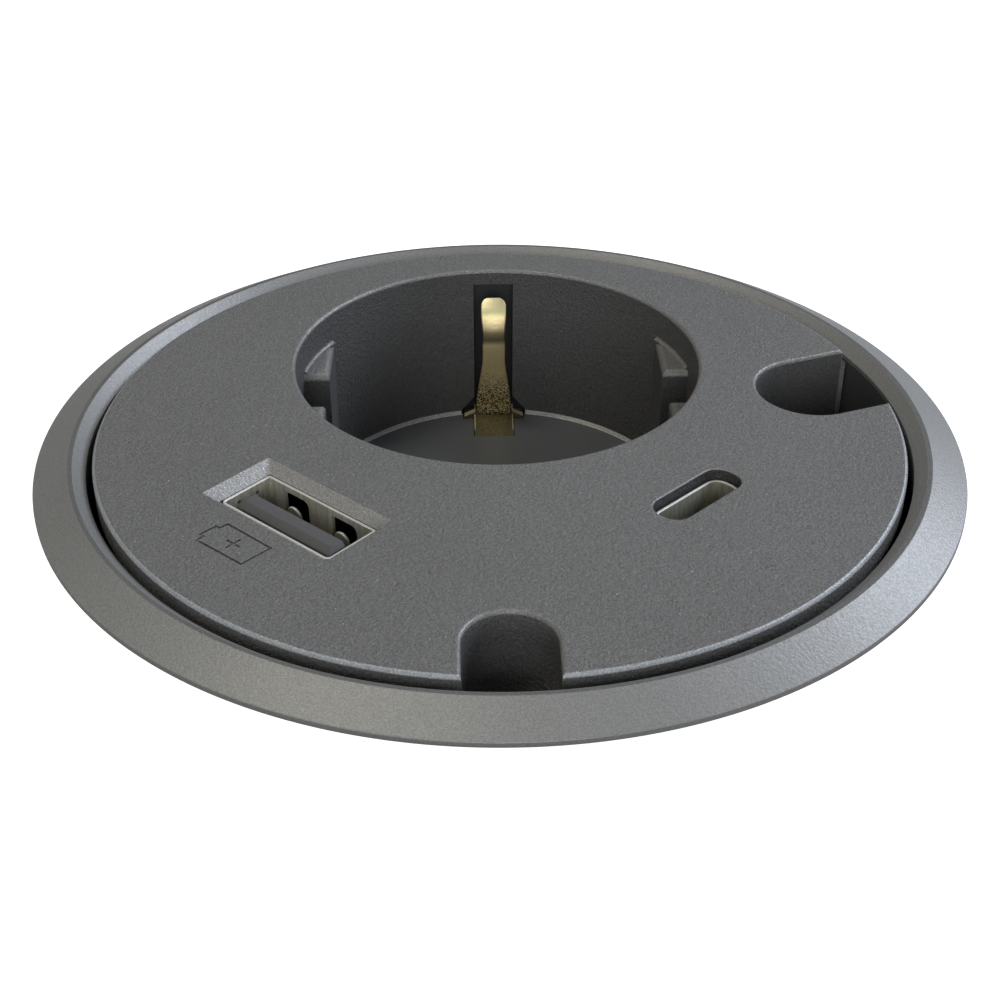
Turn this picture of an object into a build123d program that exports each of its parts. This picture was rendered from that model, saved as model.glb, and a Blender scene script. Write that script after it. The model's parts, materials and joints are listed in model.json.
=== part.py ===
from build123d import *
import math
import os

# Round desk socket, millimetres.
# Z = 0 is the desk top, +Z points up out of the desk, and the Z axis is the
# axis of the round cut-out. The front cable notch lies on the -Y side.

# Driving dimensions: desk and trim ring
CUTOUT_R = 40.0
FLANGE_R = 43.6
RIM_H = 0.5
CREST_OUT_R = 40.28
CREST_IN_R = 39.85
CREST_Z = 2.2
RING_BORE_R = 38.75
BEVEL_Z = 1.1

# Sleeve, washer and nut
BORE_R = 38.6
MOUTH_R = RING_BORE_R
COLLAR_R = CUTOUT_R - 0.3
COLLAR_H = 8.0
SLEEVE_R = COLLAR_R - 0.2
RELIEF_R = COLLAR_R - 0.5
RELIEF_W = 1.2
SLEEVE_BOTTOM = -42.0
SLEEVE_FLANGE_R = 42.2
SLEEVE_FLANGE_T = 0.7
LEDGE_R = 36.8
LEDGE_T = 2.0
DESK_T = 25.0
WASHER_R = 46.0
WASHER_BORE_R = CUTOUT_R + 0.6
WASHER_T = 1.5
NUT_H = 8.0
NUT_R = 43.6
NUT_LOBE_R = 46.5
NUT_LOBES = 12
THREAD_PLAY = 0.05

# Face panel
PANEL_R = 38.12
PANEL_TOP = 2.1
PANEL_T = 2.4
PANEL_UNDER = PANEL_TOP - PANEL_T
EDGE_FILLET = 0.4

# Socket well
WELL_Y = 13.0
WELL_R = 20.5
WELL_FLOOR_R = 20.2
WELL_DEPTH = 18.2
WELL_FLOOR_Z = PANEL_TOP - WELL_DEPTH
WELL_WALL = 1.5
RIB_FLAT_X = 17.5
RIB_DROP = 3.6
RIB_SLOT = 6.0
RIB_FILLET = 0.5
WELL_LIP = 0.4
PIN_PITCH = 19.0
PIN_HOLE_R = 2.7
FLOOR_T = 2.5
FLOOR_UNDER = WELL_FLOOR_Z - FLOOR_T

# Earth clips, heights measured down from the panel top
CLIP_SLOT_W = 4.5
CLIP_SLOT_FLARE = 7.6
CLIP_SLOT_DROP = 1.7
CLIP_FLARE_TOP = WELL_FLOOR_Z + 2.1
CLIP_FLARE_FOOT = WELL_FLOOR_Z + 0.4
CLIP_POCKET_R = 23.6
POCKET_WALL = 1.2
CLIP_T = 0.8
CLIP_TIP_W = 2.8
CLIP_NECK_W = 2.5
CLIP_BASE_W = 4.0
CLIP_BULGE_R = 16.7
CLIP_BULGE_Z = PANEL_TOP - 6.6
CLIP_CURL_R = 18.0
CLIP_CURL_Z = PANEL_TOP - 4.1
CLIP_TIP_R = 19.35
CLIP_TIP_Z = PANEL_TOP - 2.95
CLIP_BENDS = (1.5, 2.2, 3.0)
CLIP_CROWN = 1.0
CLIP_PIVOT_R = 19.3
CLIP_PIVOT_Z = WELL_FLOOR_Z - 0.1
SHOULDER_W = 7.0
FOOT_W = 4.55
FOOT_IN_R = 15.0
FOOT_PLATE_R = 18.5
BRIDGE_TAIL = 5.6
CLIP_WINDOW = 0.1

# Shutter and contacts under the floor
SHUTTER_R = 12.6
SHUTTER_T = 3.0
SHUTTER_STEP = 36.0
SHUTTER_TOP = FLOOR_UNDER - 0.3
SHUTTER_UNDER = SHUTTER_TOP - SHUTTER_T
PIVOT_R = 1.5
PIVOT_PLAY = 0.05
CARRIER_R = 18.4
CARRIER_BOTTOM = -41.0
SPRING_ROOM = 1.6
BRIDGE_Z = SHUTTER_UNDER - 2.7
PIVOT_LOW = SHUTTER_UNDER - 8.0
BRIDGE_EYE_R = 3.4
SPRING_R = 4.2
SPRING_WIRE_R = 0.3
SPRING_PITCH = 1.0
SPRING_TURNS = 2.4
CHAMBER_BOTTOM = -38.5
CONTACT_T = 0.7
CONTACT_W = 5.0
CONTACT_X = PIN_PITCH / 2
TAIL_END = 22.4
TAIL_Z = CHAMBER_BOTTOM + 0.5

# Cable notches, each a slot with a round inner end
FRONT_NOTCH_W = 7.7
FRONT_NOTCH_Y = -33.6
RIGHT_NOTCH_W = 10.8
RIGHT_NOTCH_AT = (30.95, 6.1)
RIGHT_NOTCH_DEG = 19.75
CHANNEL_WALL = 1.5
CHANNEL_SKIRT_Z = -9.0
CHANNEL_SKIRT_R = BORE_R - 0.05

# Charging ports, both lie with their long side at an angle
USB_A_AT = (-18.15, -14.38)
USB_A_DEG = -42.25
USB_A_FUNNEL = (15.8, 7.85)
USB_A_FUNNEL_SHIFT = -0.12
USB_A_DEPTH = 0.93
USB_A_SHELL = (13.8, 5.97)
USB_A_SHELL_CORNER = 0.4
USB_A_TONGUE = (11.8, 1.95)
USB_A_TONGUE_Y = -0.95
USB_A_TONGUE_SINK = 0.1
USB_A_TONGUE_CHAMFER = (0.45, 0.7)
USB_A_TONGUE_END = 0.3
USB_A_LIP = 0.35
USB_A_RELIEF = 0.9
USB_A_BASE_H = 2.6
USB_A_CONTACT_X = (-3.5, -1.0, 1.0, 3.5)
USB_A_WINDOW = (2.6, 6.4)
USB_A_WINDOW_X = 2.94
USB_A_WINDOW_SINK = 3.83
USB_A_WINDOW_CORNER = 0.7
USB_A_FINGER = (1.8, 5.8)
USB_A_FINGER_TILT = 6.0
USB_C_AT = (17.26, -13.0)
USB_C_DEG = 43.15
USB_C_SLOT = (9.8, 3.72)
USB_C_SLOT_CORNER = 1.6
USB_C_EDGE_FILLET = 0.15
USB_C_DEPTH = 1.1
USB_C_SHELL = (9.5, 3.4)
USB_C_LOW = -8.4
USB_C_TONGUE = (6.7, 0.7)
USB_C_TONGUE_SINK = 1.4
SHELL_T = 0.3

# Boards and rear housing
BOARD_T = 1.6
USB_BOARD_TOP = -13.4
POWER_BOARD_TOP = -38.4
BOARD_POST_R = 2.2
BOARD_POSTS = ((-8.0, -17.0), (8.0, -17.0))
BOARD_SCREW_R = 0.9
HEADER_AT = (0.0, -22.0)
HEADER_PITCH = 2.54
TRANSFORMER_AT = (-14.5, -17.6)
CORE_SIZE = (13.0, 6.0)
CORE_H = 12.0
CAPACITOR_R = 4.0
CAPACITOR_H = 13.0
CAPACITOR_SPOTS = ((12.0, -15.5), (13.0, -25.0))
CHOKE_AT = (24.0, -13.0)
CHOKE_R = 3.6
CHOKE_H = 9.0
HOUSING_R = 37.6
HOUSING_LOW_R = 36.4
HOUSING_STEP_Z = SLEEVE_BOTTOM + LEDGE_T
HOUSING_BOTTOM = -50.0
HOUSING_WALL = 1.8
HOUSING_FLOOR_T = 2.5
BOSS_AT_R = 33.4
BOSS_DEGS = (50, 130, -48, -132)
BOSS_R = 2.7
SCREW_R = 1.4
SCREW_HEAD_R = 2.6
SCREW_SINK = 3.0
HOOK_DEGS = (90, 205, 325)
HOOK_W = 8.0
HOOK_GAP = 1.0
HOOK_LOW = -46.3
HOOK_HIGH = -40.8
HOOK_REACH_R = 37.7

# Mains inlet
INLET_AT = (-24.7, -0.5)
INLET_SIZE = (12.6, 22.6)
INLET_RECESS = (9.8, 19.8)
INLET_TOP = -34.0
INLET_DEPTH = 13.0
INLET_PITCH = 6.0
INLET_PIN_R = 1.5
LEAD_R = 1.3
THIN_LEAD_R = 0.8
LEAD_START = INLET_TOP + 1.2
TAIL_X = 20.9
TAIL_TOP = TAIL_Z + CONTACT_T / 2


def ring(r_out, r_in, z_low, z_high):
    """A plain ring about the Z axis."""
    tube = Circle(r_out) - Circle(r_in)
    return Pos(0, 0, z_low) * extrude(tube, amount=z_high - z_low)


def disc(radius, z_low, z_high, at=(0, 0)):
    """A plain round plate or post."""
    return Pos(at[0], at[1], z_low) * extrude(Circle(radius), amount=z_high - z_low)


def block(size, z_low, z_high, at=(0, 0), turn=0):
    """A rectangular block given by its plan size and its two heights."""
    plan = Rectangle(size[0], size[1])
    return Pos(at[0], at[1], z_low) * Rot(0, 0, turn) * extrude(plan, amount=z_high - z_low)


def polar(radius, degrees):
    """Plan point at a radius and an angle about the Z axis."""
    return (radius * math.cos(math.radians(degrees)), radius * math.sin(math.radians(degrees)))


def strip(points, thickness, width, bend=0.6):
    """Bent sheet strip: a path in the YZ plane, drawn out along X about x = 0."""
    path = FilletPolyline(*points, radius=bend)
    section = Plane.YZ * trace(path, line_width=thickness)
    return extrude(section, amount=width / 2, both=True)


def notch_plan(width, centre, degrees, grow=0.0):
    """Plan of a cable notch: a round inner end that runs out past the panel edge."""
    half = width / 2 + grow
    length = 20.0
    plan = Circle(half) + Pos(length / 2, 0) * Rectangle(length, 2 * half)
    return Pos(centre[0], centre[1]) * Rot(0, 0, degrees) * plan


def front_notch(grow=0.0):
    return notch_plan(FRONT_NOTCH_W, (0, FRONT_NOTCH_Y), -90, grow)


def right_notch(grow=0.0):
    return notch_plan(RIGHT_NOTCH_W, RIGHT_NOTCH_AT, RIGHT_NOTCH_DEG, grow)


def both_notches(grow=0.0):
    return front_notch(grow) + right_notch(grow)


def prism(plan, z_low, z_high):
    """A plan sketch drawn up between two heights."""
    return Pos(0, 0, z_low) * extrude(plan, amount=z_high - z_low)


def trim_ring():
    """Sloping ring that lies on the desk and covers the sleeve's flange."""
    outline = [
        (FLANGE_R, 0), (FLANGE_R, RIM_H), (CREST_OUT_R, CREST_Z), (CREST_IN_R, CREST_Z),
        (RING_BORE_R, BEVEL_Z), (RING_BORE_R, SLEEVE_FLANGE_T),
        (SLEEVE_FLANGE_R + 0.05, SLEEVE_FLANGE_T), (SLEEVE_FLANGE_R + 0.05, 0),
    ]
    profile = make_face(Plane.XZ * Polyline(*outline, close=True))
    body = revolve(profile, Axis.Z)
    crest = body.edges().filter_by_position(Axis.Z, CREST_Z - 0.01, CREST_Z + 0.01)
    return fillet(crest, 0.2)


def mounting_sleeve():
    """Tube through the desk: flange, plain collar, thread relief, thread, and a ledge in its foot."""
    thread_top = -COLLAR_H - RELIEF_W
    tube = ring(COLLAR_R, BORE_R, -COLLAR_H, 0)
    tube += ring(RELIEF_R, BORE_R, thread_top, -COLLAR_H)
    tube += ring(SLEEVE_R, BORE_R, SLEEVE_BOTTOM, thread_top)
    tube += ring(SLEEVE_FLANGE_R, BORE_R, 0, SLEEVE_FLANGE_T)
    mouth_h = COLLAR_H + SLEEVE_FLANGE_T
    tube -= Pos(0, 0, SLEEVE_FLANGE_T - mouth_h / 2) * Cone(BORE_R, MOUTH_R, mouth_h)
    ledge = ring(SLEEVE_R, LEDGE_R, SLEEVE_BOTTOM, SLEEVE_BOTTOM + LEDGE_T)
    passage = prism(both_notches(), SLEEVE_BOTTOM, SLEEVE_BOTTOM + LEDGE_T)
    passage &= disc(BORE_R, SLEEVE_BOTTOM, SLEEVE_BOTTOM + LEDGE_T)
    return tube + (ledge - passage)


def clamp_washer():
    """Slip washer between the nut and the underside of the desk."""
    return ring(WASHER_R, WASHER_BORE_R, -DESK_T - WASHER_T, -DESK_T)


def clamp_nut():
    """Ring nut with a flange and grip lobes round it."""
    top = -DESK_T - WASHER_T - 0.1
    body = Circle(NUT_R)
    for i in range(NUT_LOBES):
        turn = 360 / NUT_LOBES * i
        lobe = Pos(NUT_R - 0.8, 0) * RectangleRounded(7.2, 7.0, 2.4)
        body += Rot(0, 0, turn) * lobe
    body &= Circle(NUT_LOBE_R)
    grip = prism(body, top - NUT_H, top)
    flange = disc(NUT_LOBE_R, top - 1.8, top)
    bore = disc(SLEEVE_R + THREAD_PLAY, top - NUT_H, top)
    return grip + flange - bore


def well_solid(radius_top, radius_floor, z_low, z_high):
    """Drafted round solid about the well's axis."""
    low = Pos(0, WELL_Y, z_low) * Circle(radius_floor)
    high = Pos(0, WELL_Y, z_high) * Circle(radius_top)
    return loft(Sketch() + [low, high], ruled=True)


def guide_ribs():
    """The two ribs on each side of the well that key the plug."""
    top = PANEL_TOP - RIB_DROP
    bottom = WELL_FLOOR_Z
    plan = Circle(WELL_R + 0.4)
    plan -= Rectangle(2 * RIB_FLAT_X, 2 * WELL_R + 4)
    plan -= Rectangle(2 * WELL_R + 4, RIB_SLOT)
    ribs = Pos(0, WELL_Y, bottom) * extrude(plan, amount=top - bottom)
    rounded = []
    for edge in ribs.edges():
        middle = edge.center()
        on_flat = abs(abs(middle.X) - RIB_FLAT_X) < 0.05
        at_side = abs(abs(middle.Y - WELL_Y) - RIB_SLOT / 2) < 0.05
        vertical = edge.length > 5 and on_flat
        on_top = abs(middle.Z - top) < 0.01 and (on_flat or at_side)
        if on_top or vertical:
            rounded.append(edge)
    return fillet(rounded, RIB_FILLET)


def clip_slot(side):
    """Cut for one earth clip: a slot in the well wall that flares at the floor."""
    top = PANEL_TOP - CLIP_SLOT_DROP
    bottom = FLOOR_UNDER - 0.5
    half = CLIP_SLOT_W / 2
    wide = CLIP_SLOT_FLARE / 2
    outline = [
        (half, top), (half, CLIP_FLARE_TOP), (wide, CLIP_FLARE_FOOT), (wide, bottom),
        (-wide, bottom), (-wide, CLIP_FLARE_FOOT), (-half, CLIP_FLARE_TOP), (-half, top),
    ]
    face = make_face(Plane.XZ * Polyline(*outline, close=True))
    start = CLIP_BULGE_R
    cut = extrude(face, amount=CLIP_POCKET_R - start, dir=(0, 1, 0))
    cut = Pos(0, start, 0) * cut
    if side < 0:
        cut = Rot(0, 0, 180) * cut
    return Pos(0, WELL_Y, 0) * cut


def well_lip():
    """Sloped lip at the foot of the well that the floor insert butts against from below."""
    outline = [
        (WELL_FLOOR_R - WELL_LIP, WELL_FLOOR_Z), (WELL_FLOOR_R + WELL_LIP, WELL_FLOOR_Z),
        (WELL_FLOOR_R + WELL_LIP, WELL_FLOOR_Z + WELL_LIP), (WELL_FLOOR_R, WELL_FLOOR_Z + WELL_LIP),
    ]
    return Pos(0, WELL_Y, 0) * revolve(make_face(Plane.XZ * Polyline(*outline, close=True)), Axis.Z)


def face_panel():
    """Panel disc with the socket well, its clip pockets and the cable channel skirts."""
    disc_plan = Circle(PANEL_R) - both_notches()
    plate = prism(disc_plan, PANEL_UNDER, PANEL_TOP)

    wall = disc(WELL_R + WELL_WALL, FLOOR_UNDER, PANEL_UNDER, at=(0, WELL_Y))
    pocket_size = (CLIP_SLOT_FLARE + 2 * POCKET_WALL, 2 * (CLIP_POCKET_R + POCKET_WALL))
    pocket_walls = block(pocket_size, FLOOR_UNDER, PANEL_UNDER, at=(0, WELL_Y))
    pocket_walls &= disc(HOUSING_R - HOUSING_WALL - 0.1, FLOOR_UNDER, PANEL_UNDER)
    skirts = prism(both_notches(CHANNEL_WALL) - both_notches(), CHANNEL_SKIRT_Z, PANEL_UNDER)
    skirts &= disc(CHANNEL_SKIRT_R, CHANNEL_SKIRT_Z, PANEL_UNDER)
    body = plate + wall + pocket_walls + skirts

    body -= well_solid(WELL_R, WELL_FLOOR_R, WELL_FLOOR_Z, PANEL_TOP)
    body -= disc(WELL_FLOOR_R, FLOOR_UNDER - 1, WELL_FLOOR_Z + 0.01, at=(0, WELL_Y))
    body += well_lip()
    body -= clip_slot(1)
    body -= clip_slot(-1)

    long_a, short_a = USB_A_SHELL
    place_a = Pos(USB_A_AT[0], USB_A_AT[1], PANEL_TOP) * Rot(0, 0, USB_A_DEG)
    top_a = place_a * Pos(USB_A_FUNNEL_SHIFT, 0) * Rectangle(*USB_A_FUNNEL)
    low_a = place_a * Pos(0, 0, -USB_A_DEPTH) * Rectangle(long_a + 0.1, short_a + 0.1)
    body -= loft(Sketch() + [low_a, top_a], ruled=True)
    body -= block((long_a + 0.1, short_a + 0.1), PANEL_UNDER - 1, PANEL_TOP - USB_A_DEPTH + 0.01,
                  at=USB_A_AT, turn=USB_A_DEG)
    body -= block((long_a + 0.1, short_a + 2 * USB_A_RELIEF), PANEL_UNDER - 1,
                  PANEL_TOP - USB_A_DEPTH - USB_A_LIP, at=USB_A_AT, turn=USB_A_DEG)
    slot_c = RectangleRounded(USB_C_SLOT[0], USB_C_SLOT[1], USB_C_SLOT_CORNER)
    place_c = Pos(USB_C_AT[0], USB_C_AT[1]) * Rot(0, 0, USB_C_DEG)
    body -= prism(place_c * slot_c, PANEL_UNDER - 1, PANEL_TOP + 1)

    body = round_top_edges(body)
    body += guide_ribs()
    for spot in boss_spots():
        body += disc(BOSS_R, PANEL_UNDER - 3.0, PANEL_UNDER, at=spot)
        body -= disc(SCREW_R - 0.2, PANEL_UNDER - 3.0, PANEL_UNDER, at=spot)
    for spot in BOARD_POSTS:
        body += disc(BOARD_POST_R, USB_BOARD_TOP, PANEL_UNDER, at=spot)
        body -= disc(BOARD_SCREW_R, USB_BOARD_TOP, USB_BOARD_TOP + 6, at=spot)
    return body


def round_top_edges(body):
    """Soften the moulded edges of the panel's top face, but not the USB-A funnel."""
    outer = []
    for edge in top_edges(body):
        if away_from(edge, USB_A_AT) > 9 and away_from(edge, USB_C_AT) > 7:
            outer.append(edge)
    body = fillet(outer, EDGE_FILLET)
    slot = [edge for edge in top_edges(body) if away_from(edge, USB_C_AT) < 7]
    return fillet(slot, USB_C_EDGE_FILLET)


def top_edges(body):
    return body.edges().filter_by_position(Axis.Z, PANEL_TOP - 0.01, PANEL_TOP + 0.01)


def away_from(edge, spot):
    """Plan distance from a spot to the middle of an edge."""
    middle = edge.center()
    return math.dist((middle.X, middle.Y), spot)


def boss_spots():
    return [polar(BOSS_AT_R, degrees) for degrees in BOSS_DEGS]


def edge_cut(width, start, side):
    """Cut through the floor insert from a distance off the well's axis to its edge."""
    length = WELL_R - start
    middle = WELL_Y + side * (start + length / 2)
    return block((width, length), FLOOR_UNDER, WELL_FLOOR_Z, at=(0, middle))


def socket_floor():
    """Insert at the bottom of the well with the pin holes and the clip notches."""
    body = disc(WELL_FLOOR_R - 0.05, FLOOR_UNDER, WELL_FLOOR_Z, at=(0, WELL_Y))
    for side in (-1, 1):
        spot = (side * PIN_PITCH / 2, WELL_Y)
        body -= disc(PIN_HOLE_R, FLOOR_UNDER, WELL_FLOOR_Z, at=spot)
        mouth = Pos(spot[0], spot[1], WELL_FLOOR_Z) * Cone(PIN_HOLE_R, PIN_HOLE_R + 1.2, 1.2)
        body -= mouth.moved(Location((0, 0, -0.6)))
        notch_start = FOOT_IN_R - CLIP_T / 2 - 0.1
        body -= edge_cut(FOOT_W + 0.2, notch_start, side)
        body -= edge_cut(SHOULDER_W + 0.2, FOOT_PLATE_R - 0.1, side)
    return body


def earth_clip(side):
    """Sprung strip: leans in from its foot to the contact bulge, then curls back."""
    points = [
        (CLIP_PIVOT_R, CLIP_PIVOT_Z - CLIP_T),
        (CLIP_PIVOT_R, CLIP_PIVOT_Z + 1.6),
        (CLIP_BULGE_R, CLIP_BULGE_Z),
        (CLIP_CURL_R, CLIP_CURL_Z),
        (CLIP_TIP_R, CLIP_TIP_Z),
    ]
    path = FilletPolyline(*points, radius=CLIP_BENDS)
    blank = extrude(Plane.YZ * trace(path, line_width=CLIP_T), amount=CLIP_BASE_W, both=True)

    neck_low = CLIP_BULGE_Z - 2.5
    half_tip = CLIP_TIP_W / 2
    half_neck = CLIP_NECK_W / 2
    half_base = CLIP_BASE_W / 2
    base = CLIP_PIVOT_Z - CLIP_T / 2
    right = [
        (half_base, base), (half_base, CLIP_PIVOT_Z + 1.2), (half_neck, neck_low),
        (half_neck, CLIP_BULGE_Z), (half_tip, CLIP_BULGE_Z + 2.4), (half_tip, PANEL_TOP),
    ]
    left = [(-x, z) for x, z in reversed(right)]
    plan = make_face(Plane.XZ * Polyline(*right, *left, close=True))
    cutter = Pos(0, 30, 0) * extrude(plan, amount=30, dir=(0, -1, 0))
    clip = blank & cutter
    crown = []
    for edge in clip.edges():
        middle = edge.center()
        from_tip = math.dist((middle.Y, middle.Z), (CLIP_TIP_R, CLIP_TIP_Z))
        if from_tip < 0.05 and abs(middle.X) > half_tip - 0.05:
            crown.append(edge)
    clip = fillet(crown, CLIP_CROWN)
    if side < 0:
        clip = Rot(0, 0, 180) * clip
    return Pos(0, WELL_Y, 0) * clip


def earth_bridge():
    """Brass strip under the floor with a foot and shoulders at each earth clip."""
    foot_z = WELL_FLOOR_Z - 0.55
    low = foot_z - CLIP_T / 2
    high = foot_z + CLIP_T / 2
    plate_end = CLIP_PIVOT_R + 2.0
    points = [
        (-plate_end, foot_z), (-FOOT_IN_R, foot_z), (-FOOT_IN_R, BRIDGE_Z),
        (FOOT_IN_R, BRIDGE_Z), (FOOT_IN_R, foot_z), (plate_end, foot_z),
    ]
    body = strip(points, CLIP_T, FOOT_W)
    plate_length = plate_end - FOOT_PLATE_R
    for side in (-1, 1):
        plate_y = side * (FOOT_PLATE_R + plate_length / 2)
        body += block((SHOULDER_W, plate_length), low, high, at=(0, plate_y))
        window = (CLIP_BASE_W + 2 * CLIP_WINDOW, CLIP_T + 2 * CLIP_WINDOW)
        body -= block(window, low, high, at=(0, side * CLIP_PIVOT_R))
    body += disc(BRIDGE_EYE_R, BRIDGE_Z - CLIP_T / 2, BRIDGE_Z + CLIP_T / 2)
    body += block((FOOT_W - 0.2, BRIDGE_TAIL), BRIDGE_Z - CLIP_T / 2, BRIDGE_Z + CLIP_T / 2,
                  at=(0, -FOOT_IN_R - BRIDGE_TAIL / 2))
    body -= disc(PIVOT_R + 0.05, BRIDGE_Z - CLIP_T / 2, BRIDGE_Z + CLIP_T / 2)
    return Pos(0, WELL_Y, 0) * body


def shutter_disc():
    """Turning shutter: solid under the pin holes until the pins push its ramps round."""
    centre = (0, WELL_Y)
    body = disc(SHUTTER_R, SHUTTER_UNDER, SHUTTER_TOP, at=centre)
    body -= disc(PIVOT_R + PIVOT_PLAY, SHUTTER_UNDER, SHUTTER_TOP, at=centre)
    spring_top = SHUTTER_UNDER + SPRING_ROOM
    hub = disc(PIVOT_R + 0.8, SHUTTER_UNDER, spring_top, at=centre)
    body -= disc(SPRING_R + 1.0, SHUTTER_UNDER, spring_top, at=centre) - hub
    for side in (0, 180):
        turn = side - SHUTTER_STEP
        hole = polar(PIN_PITCH / 2, turn)
        body -= disc(PIN_HOLE_R + 0.1, SHUTTER_UNDER, SHUTTER_TOP, at=(hole[0], hole[1] + WELL_Y))
        wedge = Pos(PIN_PITCH / 2, 0, SHUTTER_TOP) * Rot(24, 0, 0) * Box(5.0, 7.0, 2.2)
        body -= Pos(0, WELL_Y, 0) * Rot(0, 0, side) * wedge
    return body


def shutter_spring():
    """Torsion spring that turns the shutter back over the pin holes."""
    low = SHUTTER_UNDER - SPRING_ROOM + SPRING_WIRE_R + 0.05
    coil = Pos(0, WELL_Y, low) * Helix(SPRING_PITCH, SPRING_PITCH * SPRING_TURNS, SPRING_R)
    section = Plane(origin=coil @ 0, z_dir=coil % 0) * Circle(SPRING_WIRE_R)
    return sweep(section, path=coil)


def shutter_pivot():
    """Steel pin that the shutter turns on, pressed into the contact carrier."""
    return disc(PIVOT_R, PIVOT_LOW, SHUTTER_TOP, at=(0, WELL_Y))


def contact_carrier():
    """Insulating block: shutter recess on top, two contact chambers below it."""
    axis = (0, WELL_Y)
    groove_low = BRIDGE_Z - CLIP_T / 2
    body = disc(CARRIER_R, CARRIER_BOTTOM, FLOOR_UNDER, at=axis)
    body -= disc(SHUTTER_R + 0.4, SHUTTER_UNDER - 0.2, FLOOR_UNDER, at=axis)
    body -= disc(SPRING_R + 1.0, SHUTTER_UNDER - SPRING_ROOM, SHUTTER_UNDER, at=axis)
    body -= block((FOOT_W + 0.4, 2 * FOOT_IN_R + 2), groove_low, FLOOR_UNDER, at=axis)
    body -= block((FOOT_W + 0.4, 8.0), groove_low, FLOOR_UNDER, at=(0, WELL_Y - CARRIER_R))
    body -= disc(BRIDGE_EYE_R + 0.2, groove_low, SHUTTER_UNDER, at=axis)
    body -= disc(PIVOT_R, PIVOT_LOW, groove_low, at=axis)
    for side in (-1, 1):
        at = (side * CONTACT_X, WELL_Y)
        body -= block((CONTACT_W + 1.2, 8.4), CHAMBER_BOTTOM, SHUTTER_UNDER, at=at)
        tail_at = (side * (CONTACT_X + 6), WELL_Y)
        body -= block((12.0, 4.6), CHAMBER_BOTTOM, CHAMBER_BOTTOM + 2.2, at=tail_at)
    return body


def pin_contact(side):
    """Twin-leaf contact: two leaves pinched in at the pin, and a tail for the lead."""
    top = SHUTTER_UNDER - 2.2
    base = TAIL_Z
    points = [
        (-3.7, top), (-2.6, top - 3.6), (-3.3, top - 9), (-3.3, base),
        (3.3, base), (3.3, top - 9), (2.6, top - 3.6), (3.7, top),
    ]
    leaves = strip(points, CONTACT_T, CONTACT_W, bend=0.7)
    tail = block((TAIL_END - CONTACT_X, 4.0), base - CONTACT_T / 2, base + CONTACT_T / 2,
                 at=(side * (TAIL_END - CONTACT_X) / 2, 0))
    return Pos(side * CONTACT_X, WELL_Y, 0) * (leaves + tail)


def usb_a_shell():
    """Rolled metal shell with two windows and a spring finger in each long wall."""
    top = PANEL_TOP - USB_A_DEPTH
    low = USB_BOARD_TOP
    outer = RectangleRounded(USB_A_SHELL[0], USB_A_SHELL[1], USB_A_SHELL_CORNER)
    inner = RectangleRounded(USB_A_SHELL[0] - 2 * SHELL_T, USB_A_SHELL[1] - 2 * SHELL_T, 0.15)
    body = prism(outer - inner, low, top)
    window_w, window_h = USB_A_WINDOW
    finger_w, finger_h = USB_A_FINGER
    finger_foot = top - USB_A_WINDOW_SINK - window_h / 2 - 0.3
    for x in (-USB_A_WINDOW_X, USB_A_WINDOW_X):
        for side in (-1, 1):
            wall_y = side * (USB_A_SHELL[1] - SHELL_T) / 2
            window = Box(window_w, 1.0, window_h)
            corner = window.edges().filter_by(Axis.Y).sort_by(Axis.X)[-2:].sort_by(Axis.Z)[-1]
            window = fillet(corner, USB_A_WINDOW_CORNER)
            window = Pos(x, wall_y, top - USB_A_WINDOW_SINK) * window
            finger = spring_finger(finger_w, finger_h)
            finger = Pos(x, wall_y, finger_foot) * Rot(side * USB_A_FINGER_TILT, 0, 0) * finger
            body = body - window + finger
    return Pos(USB_A_AT[0], USB_A_AT[1]) * Rot(0, 0, USB_A_DEG) * body


def spring_finger(width, height):
    """Upright metal tab with a round free end."""
    straight = height - width / 2
    plan = Pos(0, straight / 2) * Rectangle(width, straight)
    plan += Pos(0, straight) * Circle(width / 2)
    return extrude(Plane.XZ * plan, amount=SHELL_T / 2, both=True)


def usb_a_tongue():
    """Insulating tongue and base block inside the USB-A shell."""
    top = PANEL_TOP - USB_A_DEPTH - USB_A_TONGUE_SINK
    tongue = block(USB_A_TONGUE, USB_BOARD_TOP, top, at=(0, USB_A_TONGUE_Y))
    ends = tongue.faces().sort_by(Axis.Z)[-1].edges().filter_by(Axis.Y)
    tongue = chamfer(ends, USB_A_TONGUE_END)
    lead_in = tongue.faces().filter_by(Plane.XY).sort_by(Axis.Z)[-1].edges().sort_by(Axis.Y)[0]
    near_side = tongue.faces().sort_by(Axis.Y)[0]
    drop, reach = USB_A_TONGUE_CHAMFER
    tongue = chamfer(lead_in, drop, reach, reference=near_side)
    inside = (USB_A_SHELL[0] - 2 * SHELL_T - 0.1, USB_A_SHELL[1] - 2 * SHELL_T - 0.1)
    base = prism(RectangleRounded(*inside, 0.3), USB_BOARD_TOP, USB_BOARD_TOP + USB_A_BASE_H)
    return Pos(USB_A_AT[0], USB_A_AT[1]) * Rot(0, 0, USB_A_DEG) * (tongue + base)


def usb_a_contacts():
    """Four contact strips on the open side of the tongue."""
    face_y = USB_A_TONGUE_Y + USB_A_TONGUE[1] / 2
    top = PANEL_TOP - USB_A_DEPTH - 2.2
    strips = Part()
    for x in USB_A_CONTACT_X:
        strips += block((1.0, 0.2), USB_BOARD_TOP + USB_A_BASE_H, top, at=(x, face_y + 0.1))
    return Pos(USB_A_AT[0], USB_A_AT[1]) * Rot(0, 0, USB_A_DEG) * strips


def usb_c_place(piece):
    return Pos(USB_C_AT[0], USB_C_AT[1]) * Rot(0, 0, USB_C_DEG) * piece


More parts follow.
